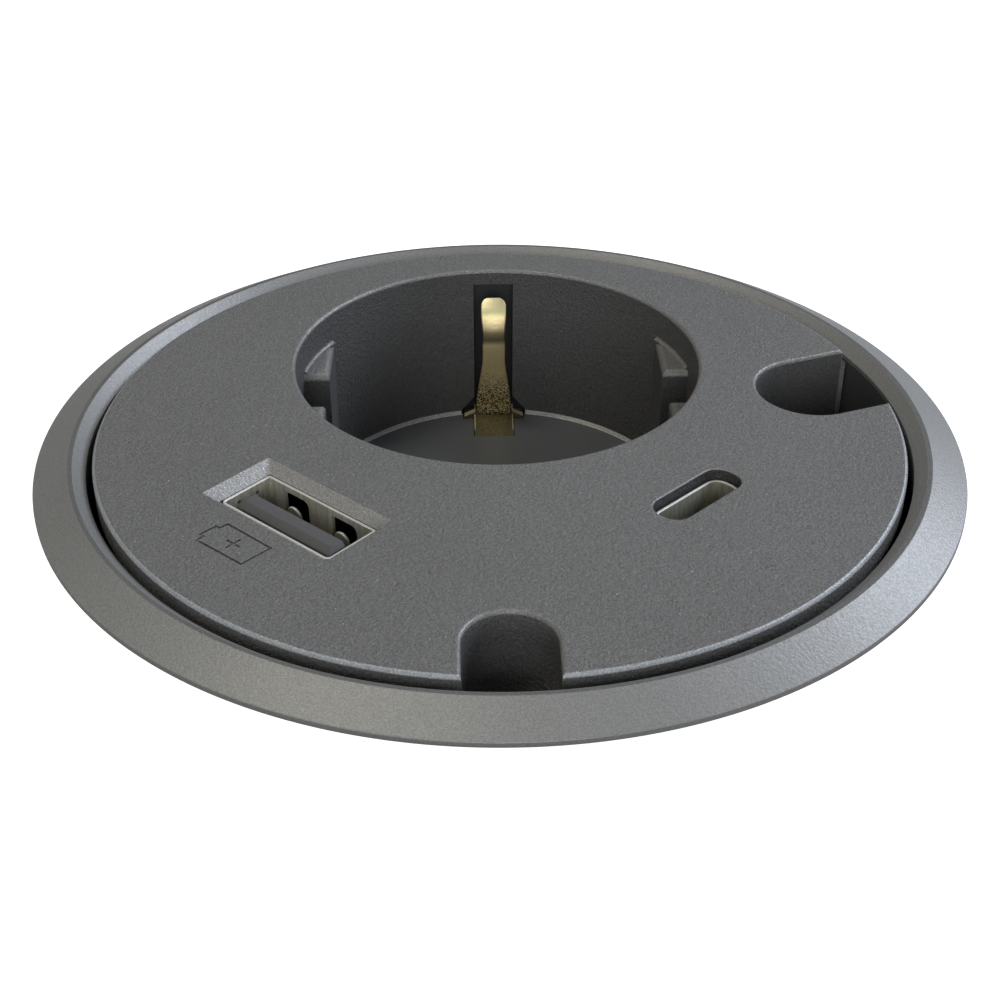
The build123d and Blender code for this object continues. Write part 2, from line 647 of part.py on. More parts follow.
def usb_c_shell():
    """Drawn oval shell of the USB-C socket."""
    top = PANEL_TOP - USB_C_DEPTH
    outer = RectangleRounded(USB_C_SHELL[0], USB_C_SHELL[1], 1.4)
    inner = RectangleRounded(USB_C_SHELL[0] - 2 * SHELL_T, USB_C_SHELL[1] - 2 * SHELL_T, 1.1)
    return usb_c_place(prism(outer - inner, USB_C_LOW, top))


def usb_c_tongue():
    """Thin two-sided tongue on a base block."""
    top = PANEL_TOP - USB_C_DEPTH - USB_C_TONGUE_SINK
    inside = (USB_C_SHELL[0] - 2 * SHELL_T - 0.1, USB_C_SHELL[1] - 2 * SHELL_T - 0.1)
    tongue = block(USB_C_TONGUE, USB_C_LOW, top)
    base = prism(RectangleRounded(inside[0], inside[1], 1.1), USB_C_LOW, USB_C_LOW + 2.4)
    return usb_c_place(tongue + base)


def usb_c_riser():
    """Spacer block that brings the short USB-C socket up to the panel."""
    return usb_c_place(block((10.0, 4.6), USB_BOARD_TOP, USB_C_LOW))


def board_plan():
    """Crescent between the socket well and the housing wall, clear of the channels."""
    plan = Circle(HOUSING_LOW_R - HOUSING_WALL - 0.5)
    plan -= Pos(0, WELL_Y) * Circle(WELL_R + WELL_WALL + 2.6)
    plan &= Pos(0, -24) * Rectangle(60, 36)
    plan -= Pos(0, WELL_Y - CLIP_POCKET_R) * Rectangle(CLIP_SLOT_FLARE + 4, 4)
    plan -= Pos(*INLET_AT) * Rectangle(INLET_SIZE[0] + 2.4, INLET_SIZE[1] + 2.4)
    plan -= both_notches(CHANNEL_WALL + HOUSING_WALL + 0.4)
    for spot in boss_spots():
        plan -= Pos(*spot) * Circle(BOSS_R + 0.5)
    return plan


def usb_board():
    """Board that carries both charging ports."""
    body = prism(board_plan(), USB_BOARD_TOP - BOARD_T, USB_BOARD_TOP)
    for spot in BOARD_POSTS:
        body -= disc(1.2, USB_BOARD_TOP - BOARD_T, USB_BOARD_TOP, at=spot)
    return body


def power_board():
    """Mains charger board, on pillars above the housing floor."""
    return prism(board_plan(), POWER_BOARD_TOP - BOARD_T, POWER_BOARD_TOP)


def board_screws():
    """Two screws that hold the USB board to the panel's posts."""
    screws = Part()
    for spot in BOARD_POSTS:
        under = USB_BOARD_TOP - BOARD_T
        shank = disc(BOARD_SCREW_R, under, under + 6, at=spot)
        head = disc(1.9, under - 1.3, under, at=spot)
        screws += shank + head
    return screws


def board_header():
    """Pin strip that feeds the USB board from the power board."""
    body = block((10.4, 2.6), POWER_BOARD_TOP, POWER_BOARD_TOP + 2.6, at=HEADER_AT)
    for i in range(4):
        x = HEADER_AT[0] + (i - 1.5) * HEADER_PITCH
        body += block((0.64, 0.64), POWER_BOARD_TOP, USB_BOARD_TOP - BOARD_T, at=(x, HEADER_AT[1]))
    return body


def transformer_core():
    """Ferrite frame of the charger transformer: two side limbs, top and bottom yokes."""
    width, deep = CORE_SIZE
    low = POWER_BOARD_TOP + 1.2
    high = low + CORE_H
    frame = block(CORE_SIZE, low, high)
    frame -= block((width - 5.2, deep), low + 2.6, high - 2.6)
    limb = block((3.6, deep), low, high)
    return Pos(TRANSFORMER_AT[0], TRANSFORMER_AT[1]) * (frame + limb)


def transformer_coil():
    """Wound coil and its former round the core's middle limb."""
    low = POWER_BOARD_TOP
    wound = block((7.6, 11.0), low + 4.0, low + 10.4)
    wound = fillet(wound.edges().filter_by(Axis.Z), 1.5)
    wound -= block((3.7, 6.1), low + 4.0, low + 10.4)
    feet = Part()
    for side in (-1, 1):
        feet += block((7.6, 2.2), low, low + 4.0, at=(0, side * 4.4))
    return Pos(TRANSFORMER_AT[0], TRANSFORMER_AT[1]) * (wound + feet)


def bulk_capacitors():
    """Two electrolytic capacitors standing on the power board."""
    cans = Part()
    for spot in CAPACITOR_SPOTS:
        can = disc(CAPACITOR_R, POWER_BOARD_TOP, POWER_BOARD_TOP + CAPACITOR_H, at=spot)
        cans += fillet(can.edges().sort_by(Axis.Z)[-1], 0.5)
    return cans


def input_choke():
    """Drum choke on the mains side of the charger."""
    low = POWER_BOARD_TOP
    profile = [
        (0, low), (CHOKE_R, low), (CHOKE_R, low + 1.2), (CHOKE_R - 0.8, low + 1.6),
        (CHOKE_R - 0.8, low + CHOKE_H - 1.6), (CHOKE_R, low + CHOKE_H - 1.2),
        (CHOKE_R, low + CHOKE_H), (0, low + CHOKE_H),
    ]
    drum = revolve(make_face(Plane.XZ * Polyline(*profile, close=True)), Axis.Z)
    return Pos(CHOKE_AT[0], CHOKE_AT[1]) * drum


def housing_outline(radius):
    return Circle(radius) - both_notches()


def rear_housing():
    """Cup under the panel; the cable channels are grooves in its outside."""
    floor_top = HOUSING_BOTTOM + HOUSING_FLOOR_T
    upper = prism(housing_outline(HOUSING_R), HOUSING_STEP_Z, PANEL_UNDER)
    lower = prism(housing_outline(HOUSING_LOW_R), HOUSING_BOTTOM, HOUSING_STEP_Z)
    inner_up = offset(housing_outline(HOUSING_R), amount=-HOUSING_WALL, kind=Kind.INTERSECTION)
    inner_low = offset(housing_outline(HOUSING_LOW_R), amount=-HOUSING_WALL, kind=Kind.INTERSECTION)
    body = upper + lower
    body -= prism(inner_up, HOUSING_STEP_Z + HOUSING_WALL, PANEL_UNDER)
    body -= prism(inner_low, floor_top, HOUSING_STEP_Z + HOUSING_WALL)
    body -= prism(both_notches(CHANNEL_WALL + 0.1), CHANNEL_SKIRT_Z - 0.1, PANEL_UNDER)
    bosses = Part()
    for spot in boss_spots():
        bosses += disc(BOSS_R, HOUSING_BOTTOM, PANEL_UNDER - 3.0, at=spot)
    body += bosses & disc(HOUSING_LOW_R, HOUSING_BOTTOM, PANEL_UNDER)
    for spot in boss_spots():
        body -= disc(SCREW_R + 0.15, HOUSING_BOTTOM, PANEL_UNDER - 3.0, at=spot)
        body -= disc(SCREW_HEAD_R + 0.2, HOUSING_BOTTOM, HOUSING_BOTTOM + SCREW_SINK, at=spot)
        body -= disc(BOSS_R + 0.1, PANEL_UNDER - 3.0, PANEL_UNDER, at=spot)
    for spot in BOARD_POSTS:
        body += disc(BOARD_POST_R, floor_top, POWER_BOARD_TOP - BOARD_T, at=spot)
    body -= block(INLET_SIZE, HOUSING_BOTTOM, floor_top, at=INLET_AT)
    for degrees in HOOK_DEGS:
        body = body - Rot(0, 0, degrees) * hook_slots() + Rot(0, 0, degrees) * snap_hook()
    return body


def hook_slots():
    """U-shaped gap that frees one snap arm in the housing wall, on the +X side."""
    inside = HOUSING_LOW_R - HOUSING_WALL - 0.4
    depth = HOUSING_LOW_R + 0.5 - inside
    window = Pos(inside + depth / 2, 0) * Rectangle(depth, HOOK_W + 2 * HOOK_GAP)
    arm = Pos(inside + depth / 2, 0) * Rectangle(depth, HOOK_W)
    sides = prism(window - arm, HOOK_LOW, HOOK_HIGH)
    foot = prism(window, HOOK_LOW - HOOK_GAP, HOOK_LOW)
    return sides + foot


def snap_hook():
    """Wedge on the snap arm that catches under the sleeve's ledge."""
    root = HOUSING_LOW_R - 0.5
    catch_z = SLEEVE_BOTTOM - 0.15
    outline = [
        (root, catch_z), (HOOK_REACH_R, catch_z), (HOOK_REACH_R, catch_z - 0.5),
        (root, HOOK_LOW + 0.2),
    ]
    side = make_face(Plane.XZ * Polyline(*outline, close=True))
    return extrude(side, amount=HOOK_W / 2, both=True)


def housing_screws():
    """Four long screws from below through the housing into the panel."""
    screws = Part()
    seat = HOUSING_BOTTOM + SCREW_SINK
    for spot in boss_spots():
        shank = disc(SCREW_R - 0.2, seat, PANEL_UNDER - 0.3, at=spot)
        head = disc(SCREW_HEAD_R, seat - 1.8, seat, at=spot)
        screws += shank + fillet(head.edges().sort_by(Axis.Z)[0], 0.5)
    return screws


def inlet_insert():
    """Recessed three-pole inlet; two keyed corners make it fit one way only."""
    width, length = INLET_SIZE
    recess_w, recess_l = INLET_RECESS
    plan = Rectangle(width - 0.1, length - 0.1)
    body = prism(plan, HOUSING_BOTTOM, INLET_TOP)
    flange = block((width + 1.6, length + 1.6), HOUSING_BOTTOM + HOUSING_FLOOR_T,
                   HOUSING_BOTTOM + HOUSING_FLOOR_T + 1.2)
    hollow = Rectangle(recess_w, recess_l)
    for side in (-1, 1):
        corner = Pos(recess_w / 2, side * recess_l / 2) * Rot(0, 0, 45) * Rectangle(2.8, 2.8)
        hollow -= corner
    body += flange
    body -= prism(hollow, HOUSING_BOTTOM, HOUSING_BOTTOM + INLET_DEPTH)
    for i in (-1, 0, 1):
        body -= disc(INLET_PIN_R, HOUSING_BOTTOM + INLET_DEPTH, INLET_TOP, at=(0, i * INLET_PITCH))
    return Pos(INLET_AT[0], INLET_AT[1]) * body


def inlet_pins():
    """Three round pins; the middle earth pin stands further out than the others."""
    pins = Part()
    for i in (-1, 0, 1):
        tip = HOUSING_BOTTOM + (4.4 if i == 0 else 5.6)
        spot = (INLET_AT[0], INLET_AT[1] + i * INLET_PITCH)
        pin = disc(INLET_PIN_R, tip, INLET_TOP + 1.2, at=spot)
        pins += fillet(pin.edges().sort_by(Axis.Z)[0], 0.6)
    return pins


def lead(points, bends, radius=LEAD_R):
    """Round insulated lead along straight runs joined by arcs."""
    path = FilletPolyline(*points, radius=bends)
    section = Plane(origin=path @ 0, z_dir=path % 0) * Circle(radius)
    return sweep(section, path=path)


def line_lead():
    """From the inlet's rear pin up, over and down to the line contact's tail."""
    x, y = INLET_AT[0], INLET_AT[1] + INLET_PITCH
    high = LEAD_START + 4.0
    return lead([
        (x, y, LEAD_START), (x, y, high), (-TAIL_X, WELL_Y, high), (-TAIL_X, WELL_Y, TAIL_TOP),
    ], 1.9)


def neutral_lead():
    """From the inlet's front pin round the contact carrier to the neutral contact."""
    x, y = INLET_AT[0], INLET_AT[1] - INLET_PITCH
    high = LEAD_START + 2.9
    return lead([
        (x, y, LEAD_START), (x, y, high), (-12.0, -8.6, high), (12.0, -8.6, high),
        (TAIL_X, 3.0, high), (TAIL_X, WELL_Y, high), (TAIL_X, WELL_Y, TAIL_TOP),
    ], (1.9, 8.0, 8.0, 8.0, 2.6))


def earth_lead():
    """From the inlet's middle pin to the tail of the earth bridge."""
    x, y = INLET_AT
    return lead([
        (x, y, LEAD_START), (x, y, BRIDGE_Z), (-14.0, -7.0, BRIDGE_Z),
        (-FOOT_W / 2 + 0.1, -7.0, BRIDGE_Z),
    ], (2.6, 8.0))


def charger_leads():
    """Thin leads that feed the charger board from the two contact tails."""
    low = POWER_BOARD_TOP - BOARD_T - 3.8
    pair = Part()
    for side in (-1, 1):
        pair += lead([
            (side * 20.4, WELL_Y, TAIL_TOP - CONTACT_T), (side * 20.4, WELL_Y, low),
            (side * 14.0, WELL_Y - 0.6, low), (side * 14.0, -11.0, low),
            (side * 14.0, -11.0, POWER_BOARD_TOP - BOARD_T),
        ], (1.8, 1.8, 1.8), THIN_LEAD_R)
    return pair


def build_nodes():
    nodes = {
        "trim_ring": trim_ring(),
        "mounting_sleeve": mounting_sleeve(),
        "clamp_washer": clamp_washer(),
        "clamp_nut": clamp_nut(),
        "face_panel": face_panel(),
        "socket_floor": socket_floor(),
        "earth_clip_far": earth_clip(1),
        "earth_clip_near": earth_clip(-1),
        "earth_bridge": earth_bridge(),
        "shutter_disc": shutter_disc(),
        "shutter_spring": shutter_spring(),
        "shutter_pivot": shutter_pivot(),
        "contact_carrier": contact_carrier(),
        "line_contact": pin_contact(-1),
        "neutral_contact": pin_contact(1),
        "usb_a_shell": usb_a_shell(),
        "usb_a_tongue": usb_a_tongue(),
        "usb_a_contacts": usb_a_contacts(),
        "usb_c_shell": usb_c_shell(),
        "usb_c_tongue": usb_c_tongue(),
        "usb_c_riser": usb_c_riser(),
        "usb_board": usb_board(),
        "board_screws": board_screws(),
        "board_header": board_header(),
        "power_board": power_board(),
        "transformer_core": transformer_core(),
        "transformer_coil": transformer_coil(),
        "bulk_capacitors": bulk_capacitors(),
        "input_choke": input_choke(),
        "rear_housing": rear_housing(),
        "housing_screws": housing_screws(),
        "inlet_insert": inlet_insert(),
        "inlet_pins": inlet_pins(),
        "line_lead": line_lead(),
        "neutral_lead": neutral_lead(),
        "earth_lead": earth_lead(),
        "charger_leads": charger_leads(),
    }
    return nodes


os.makedirs("parts", exist_ok=True)
for name, solid in build_nodes().items():
    export_step(solid, f"parts/{name}.step")
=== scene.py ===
import json
import math

import bmesh
import bpy
from mathutils import Matrix, Vector
from mathutils.geometry import tessellate_polygon

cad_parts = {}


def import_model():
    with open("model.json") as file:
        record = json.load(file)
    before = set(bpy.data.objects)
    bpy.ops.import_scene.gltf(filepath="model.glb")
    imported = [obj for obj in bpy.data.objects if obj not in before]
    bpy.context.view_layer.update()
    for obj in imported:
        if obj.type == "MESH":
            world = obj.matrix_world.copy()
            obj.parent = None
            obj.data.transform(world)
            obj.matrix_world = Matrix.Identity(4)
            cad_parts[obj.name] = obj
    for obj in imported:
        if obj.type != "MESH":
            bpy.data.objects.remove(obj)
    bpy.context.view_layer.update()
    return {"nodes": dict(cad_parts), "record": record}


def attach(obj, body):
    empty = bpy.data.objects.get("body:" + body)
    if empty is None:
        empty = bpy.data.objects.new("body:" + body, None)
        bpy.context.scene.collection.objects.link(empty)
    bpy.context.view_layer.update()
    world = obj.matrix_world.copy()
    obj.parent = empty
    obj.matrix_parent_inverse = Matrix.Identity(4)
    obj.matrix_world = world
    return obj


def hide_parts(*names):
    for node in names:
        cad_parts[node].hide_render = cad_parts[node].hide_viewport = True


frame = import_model()

# Sizes are in millimetres, as in the part's source, and become metres when a mesh is made.
MM = 0.001

# Trim ring
FLANGE_R = 43.6
RIM_H = 0.5
CREST_OUT_R = 40.28
CREST_IN_R = 39.85
CREST_Z = 2.2
RING_BORE_R = 38.75
BEVEL_Z = 1.1
SLEEVE_FLANGE_R = 42.2
SLEEVE_FLANGE_T = 0.7

# Mounting sleeve, washer and nut
BORE_R = 38.6
COLLAR_R = 39.7
COLLAR_H = 8.0
RELIEF_R = 39.2
RELIEF_W = 1.2
SLEEVE_BOTTOM = -42.0
LEDGE_R = 36.8
LEDGE_T = 2.0
THREAD_R = 39.5
THREAD_DEPTH = 0.35
THREAD_PITCH = 3.0
THREAD_MARKS = (0.0, 0.3, 0.5, 0.8)
THREAD_START = 0.5
THREAD_CHAMFER = 0.55
WASHER_R = 46.0
WASHER_BORE_R = 40.6
WASHER_T = 1.5
DESK_T = 25.0
NUT_TOP = -DESK_T - WASHER_T - 0.1
NUT_H = 8.0
NUT_LOW = NUT_TOP - NUT_H
NUT_R = 43.6
NUT_LOBE_R = 46.5
NUT_LOBES = 12
NUT_LOBE_HALF_W = 3.5
NUT_LOBE_CORNER = 2.4
NUT_BORE_R = 39.55
NUT_FLANGE_T = 1.8

# Face panel
PANEL_R = 38.12
PANEL_TOP = 2.1
PANEL_UNDER = PANEL_TOP - 2.4
PANEL_FILLET = 0.4
WELL_Y = 13.0
WELL_R = 20.5
WELL_FLOOR_R = 20.2
WELL_FLOOR_Z = PANEL_TOP - 18.2
WELL_WALL = 1.5
FLOOR_UNDER = WELL_FLOOR_Z - 2.5
RIB_FLAT_X = 17.5
RIB_TOP = PANEL_TOP - 3.6
RIB_SLOT = 6.0
RIB_FILLET = 0.8
RIB_FOOT = 0.35
WELL_LIP = 0.35
CLIP_SLOT_W = 4.5
CLIP_SLOT_FLARE = 7.6
CLIP_SLOT_TOP = PANEL_TOP - 1.7
CLIP_SLOT_START = 16.7
CLIP_FLARE_TOP = WELL_FLOOR_Z + 2.1
CLIP_FLARE_FOOT = WELL_FLOOR_Z + 0.4
CLIP_POCKET_R = 23.6
POCKET_WALL = 1.2
FRONT_NOTCH = (7.7, (0.0, -33.6), -90.0)
RIGHT_NOTCH = (10.8, (30.95, 6.1), 19.75)
SKIRT_WALL = 1.5
SKIRT_R = 38.58
SKIRT_Z = -9.0
SKIRT_TOP = 0.65

# Charging ports
USB_A_AT = (-18.15, -14.38)
USB_A_DEG = -42.25
USB_A_FUNNEL = (15.8, 7.85)
USB_A_FUNNEL_SHIFT = -0.12
USB_A_SHELL = (13.8, 5.97)
USB_A_OUTER_CORNERS = (0.3, 0.3, 0.6, 0.6)
USB_A_INNER_CORNERS = (0.12, 0.12, 0.25, 0.35)
USB_A_PEEP = (0.4, 0.5)
USB_A_PEEP_Y = (-1.05, 1.14)
USB_A_PEEP_Z = 0.23
USB_A_DEPTH = 0.93
USB_A_TOP = PANEL_TOP - USB_A_DEPTH
USB_A_TONGUE = (11.8, 1.95)
USB_A_TONGUE_Y = -0.95
USB_A_TONGUE_TOP = USB_A_TOP - 0.1
USB_A_CHAMFER = (0.45, 0.7)
USB_A_LIP = 0.35
USB_A_BASE_H = 2.6
USB_A_RELIEF = 0.9
USB_A_WINDOW = (3.1, 6.4)
USB_A_WINDOW_X = 3.06
USB_A_WINDOW_CORNER = 0.7
USB_A_WINDOW_Z = USB_A_TOP - 3.83
USB_A_FINGER = (1.8, 5.8)
USB_A_FINGER_TILT = 6.0
USB_BOARD_TOP = -13.4
USB_C_AT = (17.26, -13.0)
USB_C_DEG = 43.15
USB_C_SLOT = (9.8, 3.72)
USB_C_SLOT_CORNER = 1.6
USB_C_SHELL = (9.5, 3.4)
USB_C_SHELL_CORNER = 1.4
USB_C_TOP = PANEL_TOP - 1.1
USB_C_LOW = -8.4
SHELL_T = 0.3

# Earth clips
CLIP_T = 0.8
CLIP_TIP_W = 2.8
CLIP_NECK_W = 2.5
CLIP_BASE_W = 4.0
CLIP_PIVOT = (19.3, WELL_FLOOR_Z - 0.1)
CLIP_BULGE = (16.55, PANEL_TOP - 6.6)
CLIP_CURL = (18.0, PANEL_TOP - 4.1)
CLIP_TIP = (19.35, PANEL_TOP - 2.95)
CLIP_BENDS = (1.5, 4.6, 3.0)
CLIP_CROWN = 1.0

# Earth bridge: its foot rises to the clip, with a raised shoulder on each side of the clip
BRIDGE_T = 0.8
BRIDGE_Z = -24.6
BRIDGE_END = 21.3
BRIDGE_EYE_R = 3.4
BRIDGE_HOLE_R = 1.55
BRIDGE_TAIL = (4.35, 5.6)
FOOT_W = 4.55
FOOT_FRONT = 14.6
FOOT_TOP = -16.25
FOOT_RISE = (18.9, -15.7)
SHOULDER = (3.5, 18.5)
WING = ((2.1, -15.35), (3.45, -16.0))
WING_R = (18.85, 19.7)
CLIP_WINDOW = (2.1, 0.5)

# Battery sign beside the USB-A port: corners of its outline and the centre of its plus
SIGN_CORNERS = (
    (-26.23, -19.26), (-22.08, -22.87), (-19.86, -20.59), (-23.90, -16.88),
    (-24.53, -17.47), (-24.85, -17.16), (-26.07, -18.36), (-25.75, -18.68),
)
SIGN_PLUS = (-23.08, -19.84)
SIGN_PLUS_ARM = 0.85
SIGN_LINE = 0.27
SIGN_DEPTH = 0.18

# Spots where the panel's finish paints light or shade into its colour, each with a radius
NOTCH_GLOW = ((0.0, -32.0, -4.0), 10.0)
USB_A_GLOW = ((*USB_A_AT, 1.6), 9.3)
USB_C_SHADE = ((*USB_C_AT, 1.0), 6.5)

# Stage: the desk's surface round the socket and the floor
DESK_HOLE_R = 42.0
DESK_DISC_R = 82.0
DESK_DISC_Z = -0.02
FLOOR_R = 3000.0
FLOOR_Z = -50.6
FLOOR_COLOUR = (0.8, 0.8, 0.8, 1.0)
FLOOR_GLOW = 0.88
SKY_COLOUR = (0.97, 0.98, 1.0, 1.0)
SKY_STRENGTH = 0.12

# Lamps: name, degrees round from +X, degrees above the desk, size in metres, watts and colour
LAMP_DISTANCE = 0.8
LAMPS = (
    ("lamp_key", 28, 34, 0.36, 4.1, (0.80, 0.87, 1.0)),
    ("lamp_front", -90, 20, 0.40, 2.5, (0.94, 0.97, 1.0)),
    ("lamp_top_left", 182, 70, 0.30, 1.5, (1.0, 0.96, 0.80)),
)

# Camera: lens and sensor in millimetres, place in metres, and angles in radians and degrees
CAMERA_LENS = 57.634
CAMERA_SENSOR = 36.0
CAMERA_AT = (-0.003103, -0.13166, 0.07977)
CAMERA_DOWN = 0.582
CAMERA_TURN_DEG = -1.35


def on_circle(centre, radius, turn):
    """Point of a circle at an angle in radians."""
    return Vector((centre[0] + radius * math.cos(turn), centre[1] + radius * math.sin(turn)))


def circle(radius, centre=(0.0, 0.0), steps=288):
    """Counter-clockwise points of a circle."""
    return [on_circle(centre, radius, 2 * math.pi * i / steps) for i in range(steps)]


def arc(centre, radius, start, end, step=1.25):
    """Points of an arc between two angles in degrees, both ends included."""
    count = max(2, int(abs(end - start) / step))
    turns = [math.radians(start + (end - start) * i / count) for i in range(count + 1)]
    return [on_circle(centre, radius, turn) for turn in turns]


def placed(points, at, degrees):
    """Plan points turned about the origin and moved to a spot."""
    turn = Matrix.Rotation(math.radians(degrees), 2)
    return [turn @ Vector(p) + Vector(at) for p in points]


def cleaned(outline, gap=1e-4):
    """Outline without points that lie on one another."""
    kept = []
    for p in outline:
        if not kept or (p - kept[-1]).length > gap:
            kept.append(p)
    if (kept[0] - kept[-1]).length < gap:
        kept.pop()
    return kept


def rounded_rect(length, width, radius, steps=6):
    """Counter-clockwise rectangle about the origin with round corners, of one radius or of four."""
    points = []
    radii = radius if isinstance(radius, tuple) else (radius,) * 4
    for index, (sx, sy) in enumerate(((1, 1), (-1, 1), (-1, -1), (1, -1))):
        corner = radii[index]
        centre = (sx * (length / 2 - corner), sy * (width / 2 - corner))
        for k in range(steps + 1):
            points.append(on_circle(centre, corner, math.radians(90 * index + 90 * k / steps)))
    return points


def grown(outline, distance):
    """Counter-clockwise outline moved outwards by a distance, or inwards if it is negative."""
    points = []
    count = len(outline)
    for i, p in enumerate(outline):
        before = (p - outline[i - 1]).normalized()
        after = (outline[(i + 1) % count] - p).normalized()
        out_a = Vector((before.y, -before.x))
        out_b = Vector((after.y, -after.x))
        middle = (out_a + out_b).normalized()
        points.append(p + middle * (distance / max(middle.dot(out_a), 0.3)))
    return points


def loop_at(bm, outline, z):
    return [bm.verts.new((p[0], p[1], z)) for p in outline]


def skin(bm, one, two):
    """Band of quads between two closed loops with as many points each."""
    count = len(one)
    for i in range(count):
        j = (i + 1) % count
        bm.faces.new((one[i], one[j], two[j], two[i]))


def skin_all(bm, loops, closed=False):
    """Bands between neighbouring loops, and from the last to the first if the row is closed."""
    row = loops + loops[:1] if closed else loops
    for one, two in zip(row, row[1:]):
        skin(bm, one, two)


def cap(bm, loops):
    """Flat face inside the first loop and outside the others."""
    flat = [v for loop in loops for v in loop]
    for triangle in tessellate_polygon([[v.co for v in loop] for loop in loops]):
        bm.faces.new([flat[i] for i in triangle])


def stack(bm, loops):
    """Closed body through a row of loops, with a flat face at each end."""
    skin_all(bm, loops)
    cap(bm, [loops[0]])
    cap(bm, [loops[-1]])


def slab(bm, one, two):
    """Closed body between two flat loops alike."""
    skin(bm, one, two)
    bm.faces.new(one)
    bm.faces.new(two)


def edge_levels(radius, steps=5, support=0.04):
    """Inset and drop of each loop over a rounded top edge, from the flat to the wall."""
    levels = [(radius + support, 0.0)]
    for k in range(steps + 1):
        turn = math.pi / 2 * k / steps
        levels.append((radius * (1 - math.sin(turn)), radius * (1 - math.cos(turn))))
    return levels


def prism(bm, outline, z_low, z_high, top_radius=0.0):
    """Closed prism from a plan outline, with its top edge rounded if a radius is given."""
    loops = [loop_at(bm, outline, z_low)]
    if top_radius:
        for inset, drop in reversed(edge_levels(top_radius)):
            loops.append(loop_at(bm, grown(outline, -inset), z_high - drop))
    else:
        loops.append(loop_at(bm, outline, z_high))
    stack(bm, loops)


def box(bm, low, high):
    """Closed box between two corners."""
    plan = ((low[0], low[1]), (high[0], low[1]), (high[0], high[1]), (low[0], high[1]))
    prism(bm, [Vector(p) for p in plan], low[2], high[2])


def moved(bm, start, matrix):
    """Move the vertices that were added since a count."""
    bm.verts.ensure_lookup_table()
    bmesh.ops.transform(bm, matrix=matrix, verts=bm.verts[start:])


def corner_arc(before, spot, after, radius):
    """Centre, first spoke and sweep of the arc that rounds a corner."""
    back = (before - spot).normalized()
    ahead = (after - spot).normalized()
    half = back.angle(ahead) / 2
    reach = radius / math.tan(half)
    centre = spot + (back + ahead).normalized() * (radius / math.sin(half))
    start, end = spot + back * reach - centre, spot + ahead * reach - centre
    return centre, start, start.angle_signed(end)


def swept(centre, start, sweep, steps):
    """Points from a spoke's end round its centre."""
    return [centre + Matrix.Rotation(-sweep * k / steps, 2) @ start for k in range(steps + 1)]


def rounded_profile(corners, steps=5):
    """Closed (r, z) outline from (r, z, radius) corners."""
    points = []
    for i, (r, z, radius) in enumerate(corners):
        spot = Vector((r, z))
        if not radius:
            points.append(spot)
            continue
        before, after = Vector(corners[i - 1][:2]), Vector(corners[(i + 1) % len(corners)][:2])
        points += swept(*corner_arc(before, spot, after, radius), steps)
    return points


def lathe(bm, profile, steps=360):
    """Ring of revolution about the Z axis from a closed (r, z) outline."""
    rings = []
    for i in range(steps):
        turn = 2 * math.pi * i / steps
        c, s = math.cos(turn), math.sin(turn)
        rings.append([bm.verts.new((p[0] * c, p[0] * s, p[1])) for p in profile])
    skin_all(bm, rings, closed=True)


def make_object(name, bm):
    """Mesh object in metres from a bmesh in millimetres."""
    bmesh.ops.recalc_face_normals(bm, faces=bm.faces)
    bmesh.ops.scale(bm, vec=(MM, MM, MM), verts=bm.verts)
    mesh = bpy.data.meshes.new(name)
    bm.to_mesh(mesh)
    bm.free()
    piece = bpy.data.objects.new(name, mesh)
    bpy.context.scene.collection.objects.link(piece)
    return piece


def bake_modifiers(piece):
    """Put the result of a piece's modifiers into its mesh."""
    bpy.context.view_layer.update()
    graph = bpy.context.evaluated_depsgraph_get()
    mesh = bpy.data.meshes.new_from_object(piece.evaluated_get(graph))
    piece.modifiers.clear()
    piece.data = mesh


def boolean(piece, bm, operation, place=Matrix()):
    """Join or cut a piece with a closed mesh that is moved to its place."""
    moved(bm, 0, place)
    other = make_object("tool", bm)
    modifier = piece.modifiers.new("cut", "BOOLEAN")
    modifier.operation = operation
    modifier.solver = "EXACT"
    modifier.object = other
    bake_modifiers(piece)
    bpy.data.objects.remove(other)


def smooth(piece, angle):
    """Smooth shading up to an angle, with flat faces kept flat."""
    piece.data.shade_smooth()
    piece.data.set_sharp_from_angle(angle=math.radians(angle))
    modifier = piece.modifiers.new("normals", "WEIGHTED_NORMAL")
    modifier.mode = "FACE_AREA"
    modifier.weight = 80
    modifier.keep_sharp = True
    bake_modifiers(piece)


def adopt(piece, body, slot, *nodes, material=None, angle=28):
    """Shade a piece, give it its body and finish, and hide the CAD nodes that it stands for."""
    smooth(piece, angle)
    piece.data.materials.clear()
    piece.data.materials.append(MATERIALS[material or slot])
    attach(piece, body)
    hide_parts(*nodes)


# Materials

